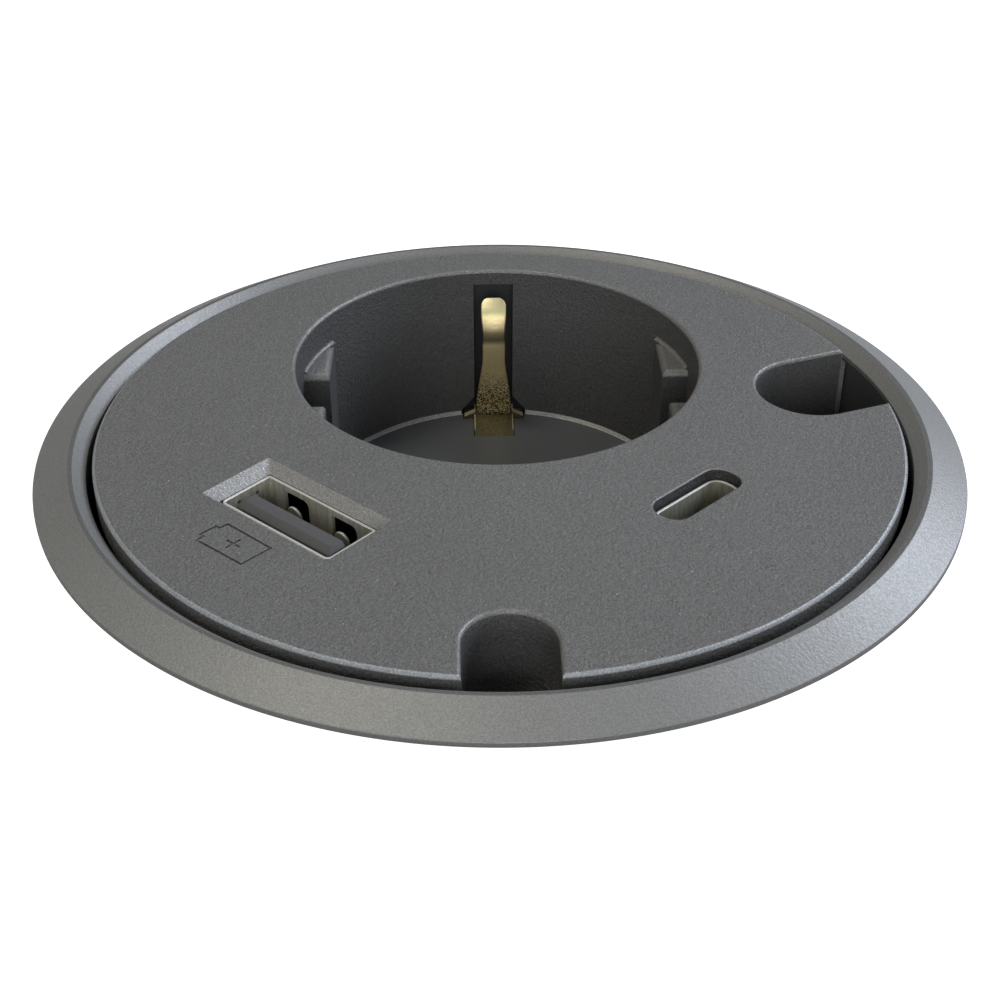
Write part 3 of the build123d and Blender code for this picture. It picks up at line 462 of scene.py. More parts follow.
class Finish:
    """A node material with the few helpers that the finishes here share."""

    def __init__(self, name, roughness, metallic=0.0, specular=0.5, coat=0.0):
        self.material = bpy.data.materials.new(name)
        self.material.use_nodes = True
        self.tree = self.material.node_tree
        self.shader = self.tree.nodes["Principled BSDF"]
        self.shader.inputs["Metallic"].default_value = metallic
        self.shader.inputs["Specular IOR Level"].default_value = specular
        self.shader.inputs["Roughness"].default_value = roughness
        self.shader.inputs["Coat Weight"].default_value = coat
        self.spot = self.tree.nodes.new("ShaderNodeTexCoord").outputs["Object"]

    def node(self, kind, **inputs):
        made = self.tree.nodes.new(kind)
        for name, value in inputs.items():
            made.inputs[name].default_value = value
        return made

    def link(self, output, socket):
        self.tree.links.new(output, socket)

    def maths(self, kind, operation, *sources):
        """Outputs of a math node that is fed by sockets or constant vectors."""
        made = self.tree.nodes.new(kind)
        made.operation = operation
        for source, socket in zip(sources, made.inputs):
            if isinstance(source, tuple):
                socket.default_value = source
            else:
                self.link(source, socket)
        return made.outputs

    def noise(self, scale, detail=2.0, roughness=0.5, stretch=None):
        """Noise in the object's own space, by scale in repeats per metre."""
        made = self.node("ShaderNodeTexNoise", Scale=scale, Detail=detail, Roughness=roughness)
        source = self.spot
        if stretch:
            mapping = self.node("ShaderNodeMapping", Scale=stretch)
            self.link(source, mapping.inputs["Vector"])
            source = mapping.outputs["Vector"]
        self.link(source, made.inputs["Vector"])
        return made.outputs["Fac"]

    def cells(self, scale):
        """Distance to the nearest of scattered points."""
        made = self.node("ShaderNodeTexVoronoi", Scale=scale)
        self.link(self.spot, made.inputs["Vector"])
        return made.outputs["Distance"]

    def remap(self, value, low, high, to_low=0.0, to_high=1.0):
        made = self.node("ShaderNodeMapRange")
        for name, number in (("From Min", low), ("From Max", high), ("To Min", to_low), ("To Max", to_high)):
            made.inputs[name].default_value = number
        self.link(value, made.inputs["Value"])
        return made.outputs["Result"]

    def mix(self, fac, one, two, blend="MIX"):
        made = self.tree.nodes.new("ShaderNodeMix")
        made.data_type = "RGBA"
        made.blend_type = blend
        for socket, value in ((made.inputs[6], one), (made.inputs[7], two)):
            if isinstance(value, tuple):
                socket.default_value = (*value, 1.0)
            else:
                self.link(value, socket)
        if isinstance(fac, float):
            made.inputs[0].default_value = fac
        else:
            self.link(fac, made.inputs[0])
        return made.outputs[2]

    def blend(self, value, low, high, one, two, most=1.0):
        """From one colour to another as a value rises between two marks."""
        return self.mix(self.remap(value, low, high, 0.0, most), one, two)

    def tinted(self, base, mask, factor):
        """A colour made darker or lighter where a mask is 1."""
        return self.mix(mask, base, self.dimmed(base, factor))

    def dimmed(self, base, factor):
        """A colour times a number or times another colour."""
        tint = factor if isinstance(factor, tuple) else (factor,) * 3
        return self.mix(1.0, base, tint, "MULTIPLY")

    def edge_wear_and_sheen(self, radius, low=0.72, high=0.97):
        """1 along convex and concave edges and 0 on faces."""
        bevel = self.node("ShaderNodeBevel", Radius=radius)
        bevel.samples = 6
        flat = self.tree.nodes.new("ShaderNodeNewGeometry").outputs["Normal"]
        level = self.maths("ShaderNodeVectorMath", "DOT_PRODUCT", bevel.outputs["Normal"], flat)
        return self.remap(level["Value"], low, high, 1.0, 0.0)

    def part_of(self, source, axis):
        """One component of a vector output."""
        parts = self.tree.nodes.new("ShaderNodeSeparateXYZ")
        self.link(source, parts.inputs["Vector"])
        return parts.outputs[axis]

    def height(self, low, high):
        """0 below one height and 1 above another, in millimetres."""
        return self.remap(self.part_of(self.spot, "Z"), low * MM, high * MM)

    def facing_up(self, low, high):
        """0 where a face looks up less than one share and 1 where it looks up more than another."""
        geometry = self.tree.nodes.new("ShaderNodeNewGeometry")
        return self.remap(self.part_of(geometry.outputs["Normal"], "Z"), low, high)

    def near(self, spot, radius):
        """1 within a radius of a spot, in millimetres."""
        centre = tuple(v * MM for v in spot)
        away = self.maths("ShaderNodeVectorMath", "DISTANCE", self.spot, centre)
        return self.remap(away["Value"], radius * MM, radius * MM * 1.03, 1.0, 0.0)

    def beyond(self, radius, soft=0.05):
        """1 outside a radius round the part's axis, in millimetres."""
        flat = self.maths("ShaderNodeVectorMath", "MULTIPLY", self.spot, (1.0, 1.0, 0.0))
        length = self.maths("ShaderNodeVectorMath", "LENGTH", flat["Vector"])
        return self.remap(length["Value"], (radius - soft) * MM, (radius + soft) * MM)

    def times(self, one, two):
        return self.maths("ShaderNodeMath", "MULTIPLY", one, two)["Value"]

    def inverse(self, value):
        return self.remap(value, 0.0, 1.0, 1.0, 0.0)

    def bump(self, height, distance, below=None):
        made = self.node("ShaderNodeBump", Strength=1.0, Distance=distance)
        self.link(height, made.inputs["Height"])
        if below is not None:
            self.link(below, made.inputs["Normal"])
        return made.outputs["Normal"]

    def finished(self, base, roughness, normal):
        """The material, with what feeds its colour, roughness and relief."""
        for source, name in ((base, "Base Color"), (roughness, "Roughness"), (normal, "Normal")):
            self.link(source, self.shader.inputs[name])
        return self.material


def shade(colour, factor):
    return tuple(c * factor for c in colour)


def moulded(name, colour, roughness, grain=2600.0, depth=0.00003):
    """Moulded plastic: spark-eroded grain, faint clouding, and edges painted lighter, partly as wear and
    partly as painted highlight.
    """
    f = Finish(name, roughness, specular=0.3)
    fine = f.noise(grain, 2.0, 0.55)
    base = f.blend(f.noise(55.0, 3.0), 0.3, 0.7, shade(colour, 0.97), shade(colour, 1.03))
    base = f.blend(fine, 0.3, 0.7, base, shade(colour, 1.1), most=0.7)
    # Lighter edges: partly wear, partly a painted highlight.
    base = f.mix(f.edge_wear_and_sheen(0.00022), base, shade(colour, 1.2))
    rough = f.remap(fine, 0.3, 0.7, roughness - 0.05, roughness + 0.06)
    return f.finished(base, rough, f.bump(fine, depth))


def panel_finish(name, colour):
    """The panel's plastic: coarse grain with pale specks on top and glossier round edges, with painted
    highlights on its round edges and on the well floor's rim, painted shade on upright walls, painted light
    on its outer side, in the front notch and in the USB-A funnel, and painted shade in the USB-C slot.
    """
    f = Finish(name, 0.42, specular=0.4)
    coarse = f.noise(3100.0, 3.0, 0.7)
    fine = f.noise(6500.0, 2.0, 0.6)
    base = f.blend(f.noise(55.0, 3.0), 0.3, 0.7, shade(colour, 0.96), shade(colour, 1.02))
    base = f.blend(fine, 0.35, 0.65, f.dimmed(base, 0.60), base)
    dots = f.remap(f.cells(1500.0), 0.05, 0.10, 1.0, 0.0)
    speck = f.times(dots, f.remap(f.noise(700.0, 1.0), 0.58, 0.62, 0.0, 0.9))
    base = f.mix(speck, base, shade(colour, 3.0))
    sloped = f.times(f.facing_up(0.10, 0.30), f.inverse(f.facing_up(0.93, 0.985)))
    upright = f.inverse(f.facing_up(0.05, 0.20))
    side = f.times(upright, f.beyond(PANEL_R - 0.08))
    at_floor = f.inverse(f.height(WELL_FLOOR_Z + 0.5, WELL_FLOOR_Z + 0.8))
    in_notch = f.times(f.near(*NOTCH_GLOW), f.inverse(f.height(-6.5, -0.5)))
    # Painted light and shade, each a mask and the factor it brings to the colour:
    painted_light_and_shade = (
        # painted highlight on sloping round edges
        (sloped, 1.1),
        # bluish painted highlight on the panel's outer lip
        (f.times(sloped, f.beyond(PANEL_R - 0.35)), (1.72, 1.82, 1.98)),
        # painted highlight on the rim of the well's floor
        (f.times(sloped, at_floor), 2.0),
        # painted shade on upright walls
        (upright, 0.56),
        # painted light on the panel's outer side, in the gap to the ring
        (side, 1.4),
        # more painted light lower in that gap
        (f.times(side, f.inverse(f.height(-1.0, 1.2))), 1.7),
        # painted light deep in the front notch
        (in_notch, 2.6),
        # painted light on the USB-A funnel's walls
        (f.times(sloped, f.near(*USB_A_GLOW)), 1.5),
        # painted shade on the USB-C slot's walls
        (f.times(upright, f.near(*USB_C_SHADE)), 0.5),
        # painted highlight along edges
        (f.edge_wear_and_sheen(0.0002), 1.5),
    )
    for mask, factor in painted_light_and_shade:
        base = f.tinted(base, mask, factor)
    glossy = f.node("ShaderNodeMix")
    glossy.inputs[3].default_value = 0.27
    f.link(sloped, glossy.inputs[0])
    f.link(f.remap(coarse, 0.3, 0.7, 0.38, 0.47), glossy.inputs[2])
    f.link(f.remap(sloped, 0.0, 1.0, 0.4, 0.8), f.shader.inputs["Specular IOR Level"])
    relief = f.times(coarse, f.remap(sloped, 0.0, 1.0, 1.0, 0.35))
    return f.finished(base, glossy.outputs[0], f.bump(relief, 0.00029))


def painted(name, colour):
    """Satin paint: fine grain and flecks, painted shade on its flat crest and its steep rim, and lighter
    edges that are partly wear and partly painted highlight.
    """
    f = Finish(name, 0.42, metallic=0.22, specular=0.38)
    grain = f.noise(3300.0, 3.0, 0.65)
    base = f.blend(f.noise(70.0, 3.0), 0.3, 0.7, shade(colour, 0.97), shade(colour, 1.03))
    base = f.blend(f.noise(6500.0, 2.0, 0.6), 0.35, 0.65, f.dimmed(base, 0.76), base)
    base = f.mix(f.remap(f.cells(5200.0), 0.0, 0.25, 0.4, 0.0), base, shade(colour, 1.6))
    # Painted shade on faces that look straight up, such as the crest.
    base = f.tinted(base, f.facing_up(0.965, 0.995), 0.62)
    # Painted shade on steep faces, such as the outer rim.
    base = f.tinted(base, f.inverse(f.facing_up(0.30, 0.62)), 0.6)
    # Lighter edges: partly wear, partly a painted highlight.
    base = f.tinted(base, f.edge_wear_and_sheen(0.0002, 0.75), 1.12)
    peel = f.bump(f.noise(900.0, 2.0), 0.000008)
    return f.finished(base, f.remap(grain, 0.3, 0.7, 0.37, 0.48), f.bump(grain, 0.000042, below=peel))


def metal(name, colour, roughness, brushed=None):
    """Bare sheet metal: rolling lines and tarnish clouds."""
    f = Finish(name, roughness, metallic=1.0)
    lines = f.noise(2500.0, 3.0, 0.6, stretch=brushed)
    cloud = f.noise(420.0, 4.0)
    base = f.blend(cloud, 0.35, 0.7, colour, shade(colour, 0.75))
    base = f.blend(lines, 0.35, 0.65, base, shade(colour, 1.12), most=0.3)
    rough = f.remap(cloud, 0.3, 0.7, roughness - 0.06, roughness + 0.1)
    return f.finished(base, rough, f.bump(lines, 0.000004))


def nickel(name, colour):
    """Plated steel of the port shells: upright drawing lines and dull inside, with painted highlights on its
    edges and on its upward-facing rim.
    """
    f = Finish(name, 0.42, metallic=0.45, specular=0.5)
    lines = f.noise(3200.0, 3.0, 0.6, stretch=(1.0, 1.0, 0.12))
    warm = (colour[0] * 0.9, colour[1] * 0.78, colour[2] * 0.55)
    base = f.blend(lines, 0.35, 0.65, shade(colour, 0.8), shade(colour, 1.1))
    base = f.blend(f.noise(500.0, 3.0), 0.5, 0.7, base, warm, most=0.5)
    base = f.blend(f.noise(6000.0, 2.0), 0.45, 0.6, base, shade(colour, 0.5), most=0.3)
    # Painted highlight along edges, such as the springs' outlines.
    base = f.mix(f.edge_wear_and_sheen(0.00014, high=0.95), base, (0.62, 0.60, 0.54))
    # Painted highlight, near white, on upward faces such as the rim.
    base = f.mix(f.facing_up(0.45, 0.8), base, (1.0, 0.99, 0.94))
    return f.finished(base, f.remap(lines, 0.3, 0.7, 0.36, 0.5), f.bump(lines, 0.000006))


def spring_brass(name, colour):
    """Brass of the earth clips: pitted and dark-speckled towards the foot, with painted highlights on the
    head, neck and foot, a painted shade line under the bulge and painted shadow at the base.
    """
    f = Finish(name, 0.4, metallic=0.68, specular=0.5)
    grain = f.noise(5200.0, 2.0, 0.6)
    cool = (colour[0] * 0.77, colour[1] * 0.82, colour[2] * 1.08)
    foot = f.inverse(f.height(-13.0, -8.0))
    base = f.blend(f.noise(420.0, 3.0), 0.35, 0.7, colour, shade(colour, 0.88))
    base = f.mix(f.times(f.height(-1.9, -1.0), f.remap(grain, 0.3, 0.7, 0.3, 0.7)), base, cool)
    painted_light_and_shade = (
        # painted highlight on the head
        (f.height(-3.0, -2.0), 2.15),
        # painted shade line where the bulge turns under
        (f.times(f.height(-5.3, -4.7), f.inverse(f.height(-3.9, -2.7))), 0.3),
        # painted light on the neck
        (f.times(f.height(-13.0, -9.0), f.inverse(f.height(-5.4, -4.9))), 1.7),
        # painted light on the foot
        (foot, 1.9),
    )
    for mask, factor in painted_light_and_shade:
        base = f.tinted(base, mask, factor)
    base = f.mix(f.times(foot, f.remap(grain, 0.44, 0.54, 0.0, 0.97)), base, shade(colour, 0.06))
    # Painted shadow at the clip's base.
    base = f.tinted(base, f.inverse(f.height(-15.7, -15.2)), 0.4)
    pitted = f.times(grain, f.remap(foot, 0.0, 1.0, 0.25, 1.0))
    return f.finished(base, f.remap(grain, 0.3, 0.7, 0.36, 0.5), f.bump(pitted, 0.00003))


def bridge_finish(name, colour):
    """Brass of the earth bridge, its colour darkened as painted shade, with bright tops on its shoulders that
    are partly sheared metal and partly painted highlight.
    """
    f = Finish(name, 0.5, metallic=0.6, specular=0.4)
    grain = f.noise(5200.0, 2.0, 0.6)
    aside = f.maths("ShaderNodeMath", "ABSOLUTE", f.part_of(f.spot, "X"))["Value"]
    outside = f.remap(aside, WING[0][0] * MM, (WING[0][0] + 0.12) * MM)
    raised = f.times(f.times(f.height(-16.12, -16.02), f.facing_up(0.3, 0.6)), outside)
    base = f.blend(grain, 0.42, 0.6, colour, shade(colour, 0.6))
    # Bright shoulder tops: partly sheared metal, partly a painted highlight.
    base = f.mix(raised, base, (1.0, 0.88, 0.62))
    return f.finished(base, f.remap(grain, 0.3, 0.7, 0.42, 0.58), f.bump(grain, 0.00001))


def rubber(name, colour):
    """Dull rubber with a little dust."""
    f = Finish(name, 0.8, specular=0.3)
    fine = f.noise(1500.0, 4.0, 0.6)
    base = f.blend(f.noise(160.0, 5.0, 0.7), 0.45, 0.75, colour, shade(colour, 2.2), most=0.5)
    return f.finished(base, f.remap(fine, 0.3, 0.7, 0.7, 0.92), f.bump(fine, 0.00003))


def laminate(name, colour):
    """Circuit board: solder mask with a faint weave."""
    f = Finish(name, 0.35, specular=0.5, coat=0.3)
    weave = f.noise(900.0, 2.0, stretch=(1.0, 6.0, 1.0))
    cloud = f.noise(150.0, 3.0)
    base = f.blend(weave, 0.35, 0.65, shade(colour, 0.85), shade(colour, 1.15))
    base = f.blend(cloud, 0.4, 0.7, base, shade(colour, 0.6), most=0.4)
    return f.finished(base, f.remap(cloud, 0.3, 0.7, 0.28, 0.45), f.bump(weave, 0.000008))


def sheath(name, colour, stripe=None):
    """Insulation of a lead, with a second colour wound round it for the earth lead."""
    f = Finish(name, 0.42, specular=0.45)
    fine = f.noise(1800.0, 3.0)
    base = f.blend(fine, 0.35, 0.65, shade(colour, 0.9), shade(colour, 1.08))
    if stripe:
        wave = f.node("ShaderNodeTexWave", Scale=260.0)
        f.link(f.spot, wave.inputs["Vector"])
        base = f.blend(wave.outputs["Fac"], 0.55, 0.6, base, stripe)
    return f.finished(base, f.remap(fine, 0.3, 0.7, 0.36, 0.5), f.bump(fine, 0.00001))


MATERIALS = {
    "ring_paint": painted("ring_paint", (0.345, 0.343, 0.338)),
    "panel_plastic": panel_finish("panel_plastic", (0.263, 0.259, 0.254)),
    "floor_plastic": moulded("floor_plastic", (0.140, 0.146, 0.160), 0.36, grain=1500.0, depth=0.000004),
    "sleeve_plastic": moulded("sleeve_plastic", (0.060, 0.060, 0.063), 0.5),
    "housing_plastic": moulded("housing_plastic", (0.052, 0.052, 0.054), 0.48, grain=1600.0, depth=0.00003),
    "nut_plastic": moulded("nut_plastic", (0.060, 0.060, 0.062), 0.45, grain=1500.0),
    "washer_rubber": rubber("washer_rubber", (0.030, 0.030, 0.031)),
    "clip_brass": spring_brass("clip_brass", (0.61, 0.49, 0.26)),
    # The bridge's brass, darker than the clips' brass as painted shade.
    "bridge_brass_shaded": bridge_finish("bridge_brass_shaded", (0.210, 0.178, 0.100)),
    "contact_brass": metal("contact_brass", (0.66, 0.50, 0.26), 0.35, brushed=(1.0, 0.2, 1.0)),
    "steel": metal("steel", (0.52, 0.52, 0.53), 0.3, brushed=(1.0, 1.0, 0.2)),
    "usb_nickel": nickel("usb_nickel", (0.60, 0.585, 0.50)),
    "tongue_plastic": moulded("tongue_plastic", (0.13, 0.13, 0.132), 0.42, grain=1800.0, depth=0.000006),
    "gold_contact": metal("gold_contact", (0.80, 0.58, 0.26), 0.22),
    "carrier_plastic": moulded("carrier_plastic", (0.13, 0.13, 0.13), 0.45, grain=1500.0),
    "shutter_plastic": moulded("shutter_plastic", (0.30, 0.30, 0.30), 0.4, grain=1500.0),
    "board": laminate("board", (0.012, 0.11, 0.045)),
    "ferrite": moulded("ferrite", (0.05, 0.047, 0.045), 0.65, grain=1200.0, depth=0.00004),
    "coil_tape": moulded("coil_tape", (0.55, 0.42, 0.08), 0.35, grain=900.0, depth=0.00001),
    "capacitor": moulded("capacitor", (0.035, 0.04, 0.05), 0.3, grain=900.0, depth=0.000006),
    "lead_brown": sheath("lead_brown", (0.12, 0.045, 0.02)),
    "lead_blue": sheath("lead_blue", (0.03, 0.09, 0.32)),
    "lead_green_yellow": sheath("lead_green_yellow", (0.05, 0.26, 0.05), (0.62, 0.55, 0.04)),
}


def dress_cad_nodes():
    """Every CAD node that stays gets the procedural material of its slot."""
    for part in frame["record"]["subparts"]:
        node = frame["nodes"][part["node"]]
        node.data.materials.clear()
        node.data.materials.append(MATERIALS[part["material_slot"]])


# Pieces

def trim_ring():
    """Sloping ring on the desk, with its crest and the bevel inside it."""
    inner_r = SLEEVE_FLANGE_R + 0.05
    corners = [
        (FLANGE_R, 0.0, 0.06), (FLANGE_R, RIM_H, 0.16), (CREST_OUT_R, CREST_Z, 0.2),
        (CREST_IN_R, CREST_Z, 0.12), (RING_BORE_R, BEVEL_Z, 0.12), (RING_BORE_R, SLEEVE_FLANGE_T, 0.0),
        (inner_r, SLEEVE_FLANGE_T, 0.0), (inner_r, 0.0, 0.0),
    ]
    bm = bmesh.new()
    lathe(bm, rounded_profile(corners))
    adopt(make_object("trim_ring_fine", bm), "root", "ring_paint", "trim_ring")


def thread_radius(z, share):
    """Radius of the sleeve's thread at a height, at a share of a full turn."""
    along = ((z - SLEEVE_BOTTOM) / THREAD_PITCH - share) % 1.0
    crest_end, root_start, root_end = THREAD_MARKS[1:]
    root = THREAD_R - THREAD_DEPTH
    if along < crest_end:
        return THREAD_R
    if along < root_start:
        return THREAD_R - THREAD_DEPTH * (along - crest_end) / (root_start - crest_end)
    if along < root_end:
        return root
    return root + THREAD_DEPTH * (along - root_end) / (1.0 - root_end)


def mounting_sleeve():
    """Tube with its flange, collar, thread relief and helical thread, and the ledge in its foot."""
    low, high = SLEEVE_BOTTOM + THREAD_START, -COLLAR_H - RELIEF_W
    ledge = SLEEVE_BOTTOM + LEDGE_T
    before = [(LEDGE_R, SLEEVE_BOTTOM), (THREAD_R - THREAD_CHAMFER, SLEEVE_BOTTOM)]
    after = [
        (RELIEF_R, high), (RELIEF_R, -COLLAR_H), (COLLAR_R, -COLLAR_H), (COLLAR_R, 0.0),
        (SLEEVE_FLANGE_R, 0.0), (SLEEVE_FLANGE_R, SLEEVE_FLANGE_T), (RING_BORE_R, SLEEVE_FLANGE_T),
        (BORE_R, -COLLAR_H), (BORE_R, ledge), (LEDGE_R, ledge),
    ]
    turns = int((high - SLEEVE_BOTTOM) / THREAD_PITCH) + 2
    bm = bmesh.new()
    rows, steps = [], 240
    for i in range(steps + 1):
        share = i / steps
        c, s = math.cos(2 * math.pi * share), math.sin(2 * math.pi * share)
        line = list(before)
        for k in range(-1, turns):
            for mark in THREAD_MARKS:
                z = min(max(SLEEVE_BOTTOM + THREAD_PITCH * (k + mark + share), low), high)
                line.append((thread_radius(z, share), z))
        rows.append([bm.verts.new((r * c, r * s, z)) for r, z in line + after])
    skin_all(bm, rows)
    bmesh.ops.remove_doubles(bm, verts=bm.verts, dist=0.0005)
    bmesh.ops.dissolve_degenerate(bm, dist=0.0005, edges=bm.edges)
    piece = make_object("mounting_sleeve_fine", bm)
    passages = bmesh.new()
    for notch in (FRONT_NOTCH, RIGHT_NOTCH):
        run = notch_run(*notch, BORE_R)
        start, end = angle_of(run[-1]), angle_of(run[0])
        if start < end:
            start += 360
        rim_arc = arc((0, 0), BORE_R, end, start)
        prism(passages, run + rim_arc[::-1][1:-1], SLEEVE_BOTTOM - 0.5, ledge + 0.3)
    boolean(piece, passages, "DIFFERENCE")
    adopt(piece, "root", "sleeve_plastic", "mounting_sleeve")


def clamp_washer():
    """Slip washer against the underside of the desk."""
    top, low = -DESK_T, -DESK_T - WASHER_T
    corners = [
        (WASHER_R, low, 0.4), (WASHER_R, top, 0.4), (WASHER_BORE_R, top, 0.2), (WASHER_BORE_R, low, 0.2),
    ]
    bm = bmesh.new()
    lathe(bm, rounded_profile(corners))
    adopt(make_object("clamp_washer_fine", bm), "washer_body", "washer_rubber", "clamp_washer")


def nut_outline():
    """Round nut with grip lobes, counter-clockwise."""
    half, corner, reach = NUT_LOBE_HALF_W, NUT_LOBE_CORNER, NUT_LOBE_R - 0.1
    base = math.sqrt(NUT_R ** 2 - half ** 2)
    low_arc = arc((reach - corner, corner - half), corner, -90, 0, step=12)
    high_arc = arc((reach - corner, half - corner), corner, 0, 90, step=12)
    lobe = [Vector((base, -half))] + low_arc + high_arc + [Vector((base, half))]
    pitch = 360 / NUT_LOBES
    edge = math.degrees(math.asin(half / NUT_R))
    outline = []
    for i in range(NUT_LOBES):
        outline += placed(lobe, (0, 0), i * pitch)
        outline += arc((0, 0), NUT_R, i * pitch + edge, (i + 1) * pitch - edge, step=2.0)[1:-1]
    return outline


def clamp_nut():
    """Ring nut: grip lobes under a flange, with soft edges and a chamfered bore."""
    bm = bmesh.new()
    outline = nut_outline()
    low_edge = [loop_at(bm, grown(outline, -inset), NUT_LOW + drop) for inset, drop in edge_levels(0.6)]
    under = loop_at(bm, outline, NUT_TOP - NUT_FLANGE_T)
    flange = [loop_at(bm, circle(NUT_LOBE_R), NUT_TOP - NUT_FLANGE_T)]
    for inset, drop in reversed(edge_levels(0.4)):
        flange.append(loop_at(bm, circle(NUT_LOBE_R - inset), NUT_TOP - drop))
    bore = []
    for radius, z in ((0.6, NUT_TOP), (0.0, NUT_TOP - 0.6), (0.0, NUT_LOW + 0.6), (0.6, NUT_LOW)):
        bore.append(loop_at(bm, circle(NUT_BORE_R + radius), z))
    for run in (low_edge + [under], flange, bore):
        skin_all(bm, run)
    cap(bm, [flange[0], under])
    cap(bm, [flange[-1], bore[0]])
    cap(bm, [low_edge[0], bore[-1]])
    adopt(make_object("clamp_nut_fine", bm), "nut_body", "nut_plastic", "clamp_nut")


def notch_run(width, centre, degrees, radius, grow=0.0):
    """Edge of a notch from its clockwise side in, round its end and out to a radius."""
    centre = Vector(centre)
    axis = Vector((math.cos(math.radians(degrees)), math.sin(math.radians(degrees))))
    side = Vector((-axis.y, axis.x))
    half = width / 2 + grow
    ends = []
    for sign in (-1, 1):
        start = centre + side * (sign * half)
        ahead = start.dot(axis)
        reach = math.sqrt(ahead * ahead + radius * radius - start.length_squared) - ahead
        ends.append(start + axis * reach)
    inner = arc(centre, half, degrees - 90, degrees - 270, step=3.0)
    return [ends[0]] + inner + [ends[1]]


def angle_of(point):
    return math.degrees(math.atan2(point.y, point.x))


def panel_outline():
    """Panel edge with its two cable notches, counter-clockwise."""
    front = notch_run(*FRONT_NOTCH, PANEL_R)
    right = notch_run(*RIGHT_NOTCH, PANEL_R)
    back_arc = arc((0, 0), PANEL_R, angle_of(right[-1]), angle_of(front[0]) + 360)
    front_arc = arc((0, 0), PANEL_R, angle_of(front[-1]), angle_of(right[0]))
    return cleaned(back_arc + front + front_arc + right)


def rim(bm, outline, sign, levels, tail):
    """Rounded top edge of one outline and the wall below it; gives its first and last loops."""
    loops = [loop_at(bm, grown(outline, sign * inset), PANEL_TOP - drop) for inset, drop in levels]
    loops += [loop_at(bm, points, z) for points, z in tail]
    skin_all(bm, loops)
    return loops[0], loops[-1]


def panel_body():
    """The disc with its openings and the tube of the socket well."""
    bm = bmesh.new()
    levels = edge_levels(PANEL_FILLET)
    outer = panel_outline()
    rims = [rim(bm, outer, -1, levels, [(outer, PANEL_UNDER)])]
    well = (0.0, WELL_Y)
    tube = circle(WELL_R + WELL_WALL, well)
    low = circle(WELL_FLOOR_R, well)
    rims.append(rim(bm, circle(WELL_R, well), 1, levels, [
        (low, WELL_FLOOR_Z + WELL_LIP), (circle(WELL_FLOOR_R - WELL_LIP, well), WELL_FLOOR_Z),
        (low, WELL_FLOOR_Z), (low, FLOOR_UNDER), (tube, FLOOR_UNDER), (tube, PANEL_UNDER)]))
    flared = [p + Vector((USB_A_FUNNEL_SHIFT, 0.0)) for p in rounded_rect(*USB_A_FUNNEL, 0.12)]
    funnel = placed(flared, USB_A_AT, USB_A_DEG)
    long_side, short_side = USB_A_SHELL
    lip = USB_A_TOP - USB_A_LIP
    mouth = placed(rounded_rect(long_side + 0.1, short_side + 0.1, 0.12), USB_A_AT, USB_A_DEG)
    relief = placed(rounded_rect(long_side + 0.1, short_side + 2 * USB_A_RELIEF, 0.12), USB_A_AT, USB_A_DEG)
    rims.append(rim(bm, funnel, 1, edge_levels(0.05, 3, 0.02), [
        (mouth, USB_A_TOP), (mouth, lip), (relief, lip), (relief, PANEL_UNDER)]))
    slot = placed(rounded_rect(*USB_C_SLOT, USB_C_SLOT_CORNER, 10), USB_C_AT, USB_C_DEG)
    rims.append(rim(bm, slot, 1, edge_levels(0.15), [(slot, PANEL_UNDER)]))
    cap(bm, [top for top, under in rims])
    cap(bm, [under for top, under in rims])
    return make_object("face_panel_fine", bm)


def skirt_outline(notch):
    inner = notch_run(*notch, SKIRT_R)
    outer = notch_run(*notch, SKIRT_R, SKIRT_WALL)
    return inner + outer[::-1]


def guide_rib(bm, side, half):
    """One guide rib, with its top edges rounded at the flat and at the slot between the pair."""
    radius, gap = WELL_R + 0.7, RIB_SLOT / 2
    high = math.sqrt(radius * radius - RIB_FLAT_X * RIB_FLAT_X)
    start, end = math.degrees(math.asin(gap / radius)), math.degrees(math.atan2(high, RIB_FLAT_X))
    outline = arc((0, 0), radius, start, end, step=3.0) + [Vector((RIB_FLAT_X, gap))]
    own = bmesh.new()
    prism(own, outline, WELL_FLOOR_Z + 0.1, RIB_TOP)
    bmesh.ops.recalc_face_normals(own, faces=own.faces)
    bmesh.ops.dissolve_limit(own, angle_limit=0.01, verts=own.verts, edges=own.edges)
    picked = []
    for edge in own.edges:
        a, b = (v.co for v in edge.verts)
        on_top = abs(a.z - RIB_TOP) < 1e-4 and abs(b.z - RIB_TOP) < 1e-4
        on_flat = abs(a.x - RIB_FLAT_X) < 1e-3 and abs(b.x - RIB_FLAT_X) < 1e-3
        at_gap = abs(a.y - gap) < 1e-3 and abs(b.y - gap) < 1e-3
        if on_top and (on_flat or at_gap):
            picked.append(edge)
    bmesh.ops.bevel(
        own, geom=picked, offset=RIB_FILLET, segments=7, profile=0.5, affect="EDGES", clamp_overlap=False)
    mesh = bpy.data.meshes.new("rib")
    own.to_mesh(mesh)
    own.free()
    start = len(bm.verts)
    bm.from_mesh(mesh)
    bpy.data.meshes.remove(mesh)
    moved(bm, start, Matrix.Translation((0.0, WELL_Y, 0.0)) @ Matrix.Diagonal((side, half, 1.0, 1.0)))


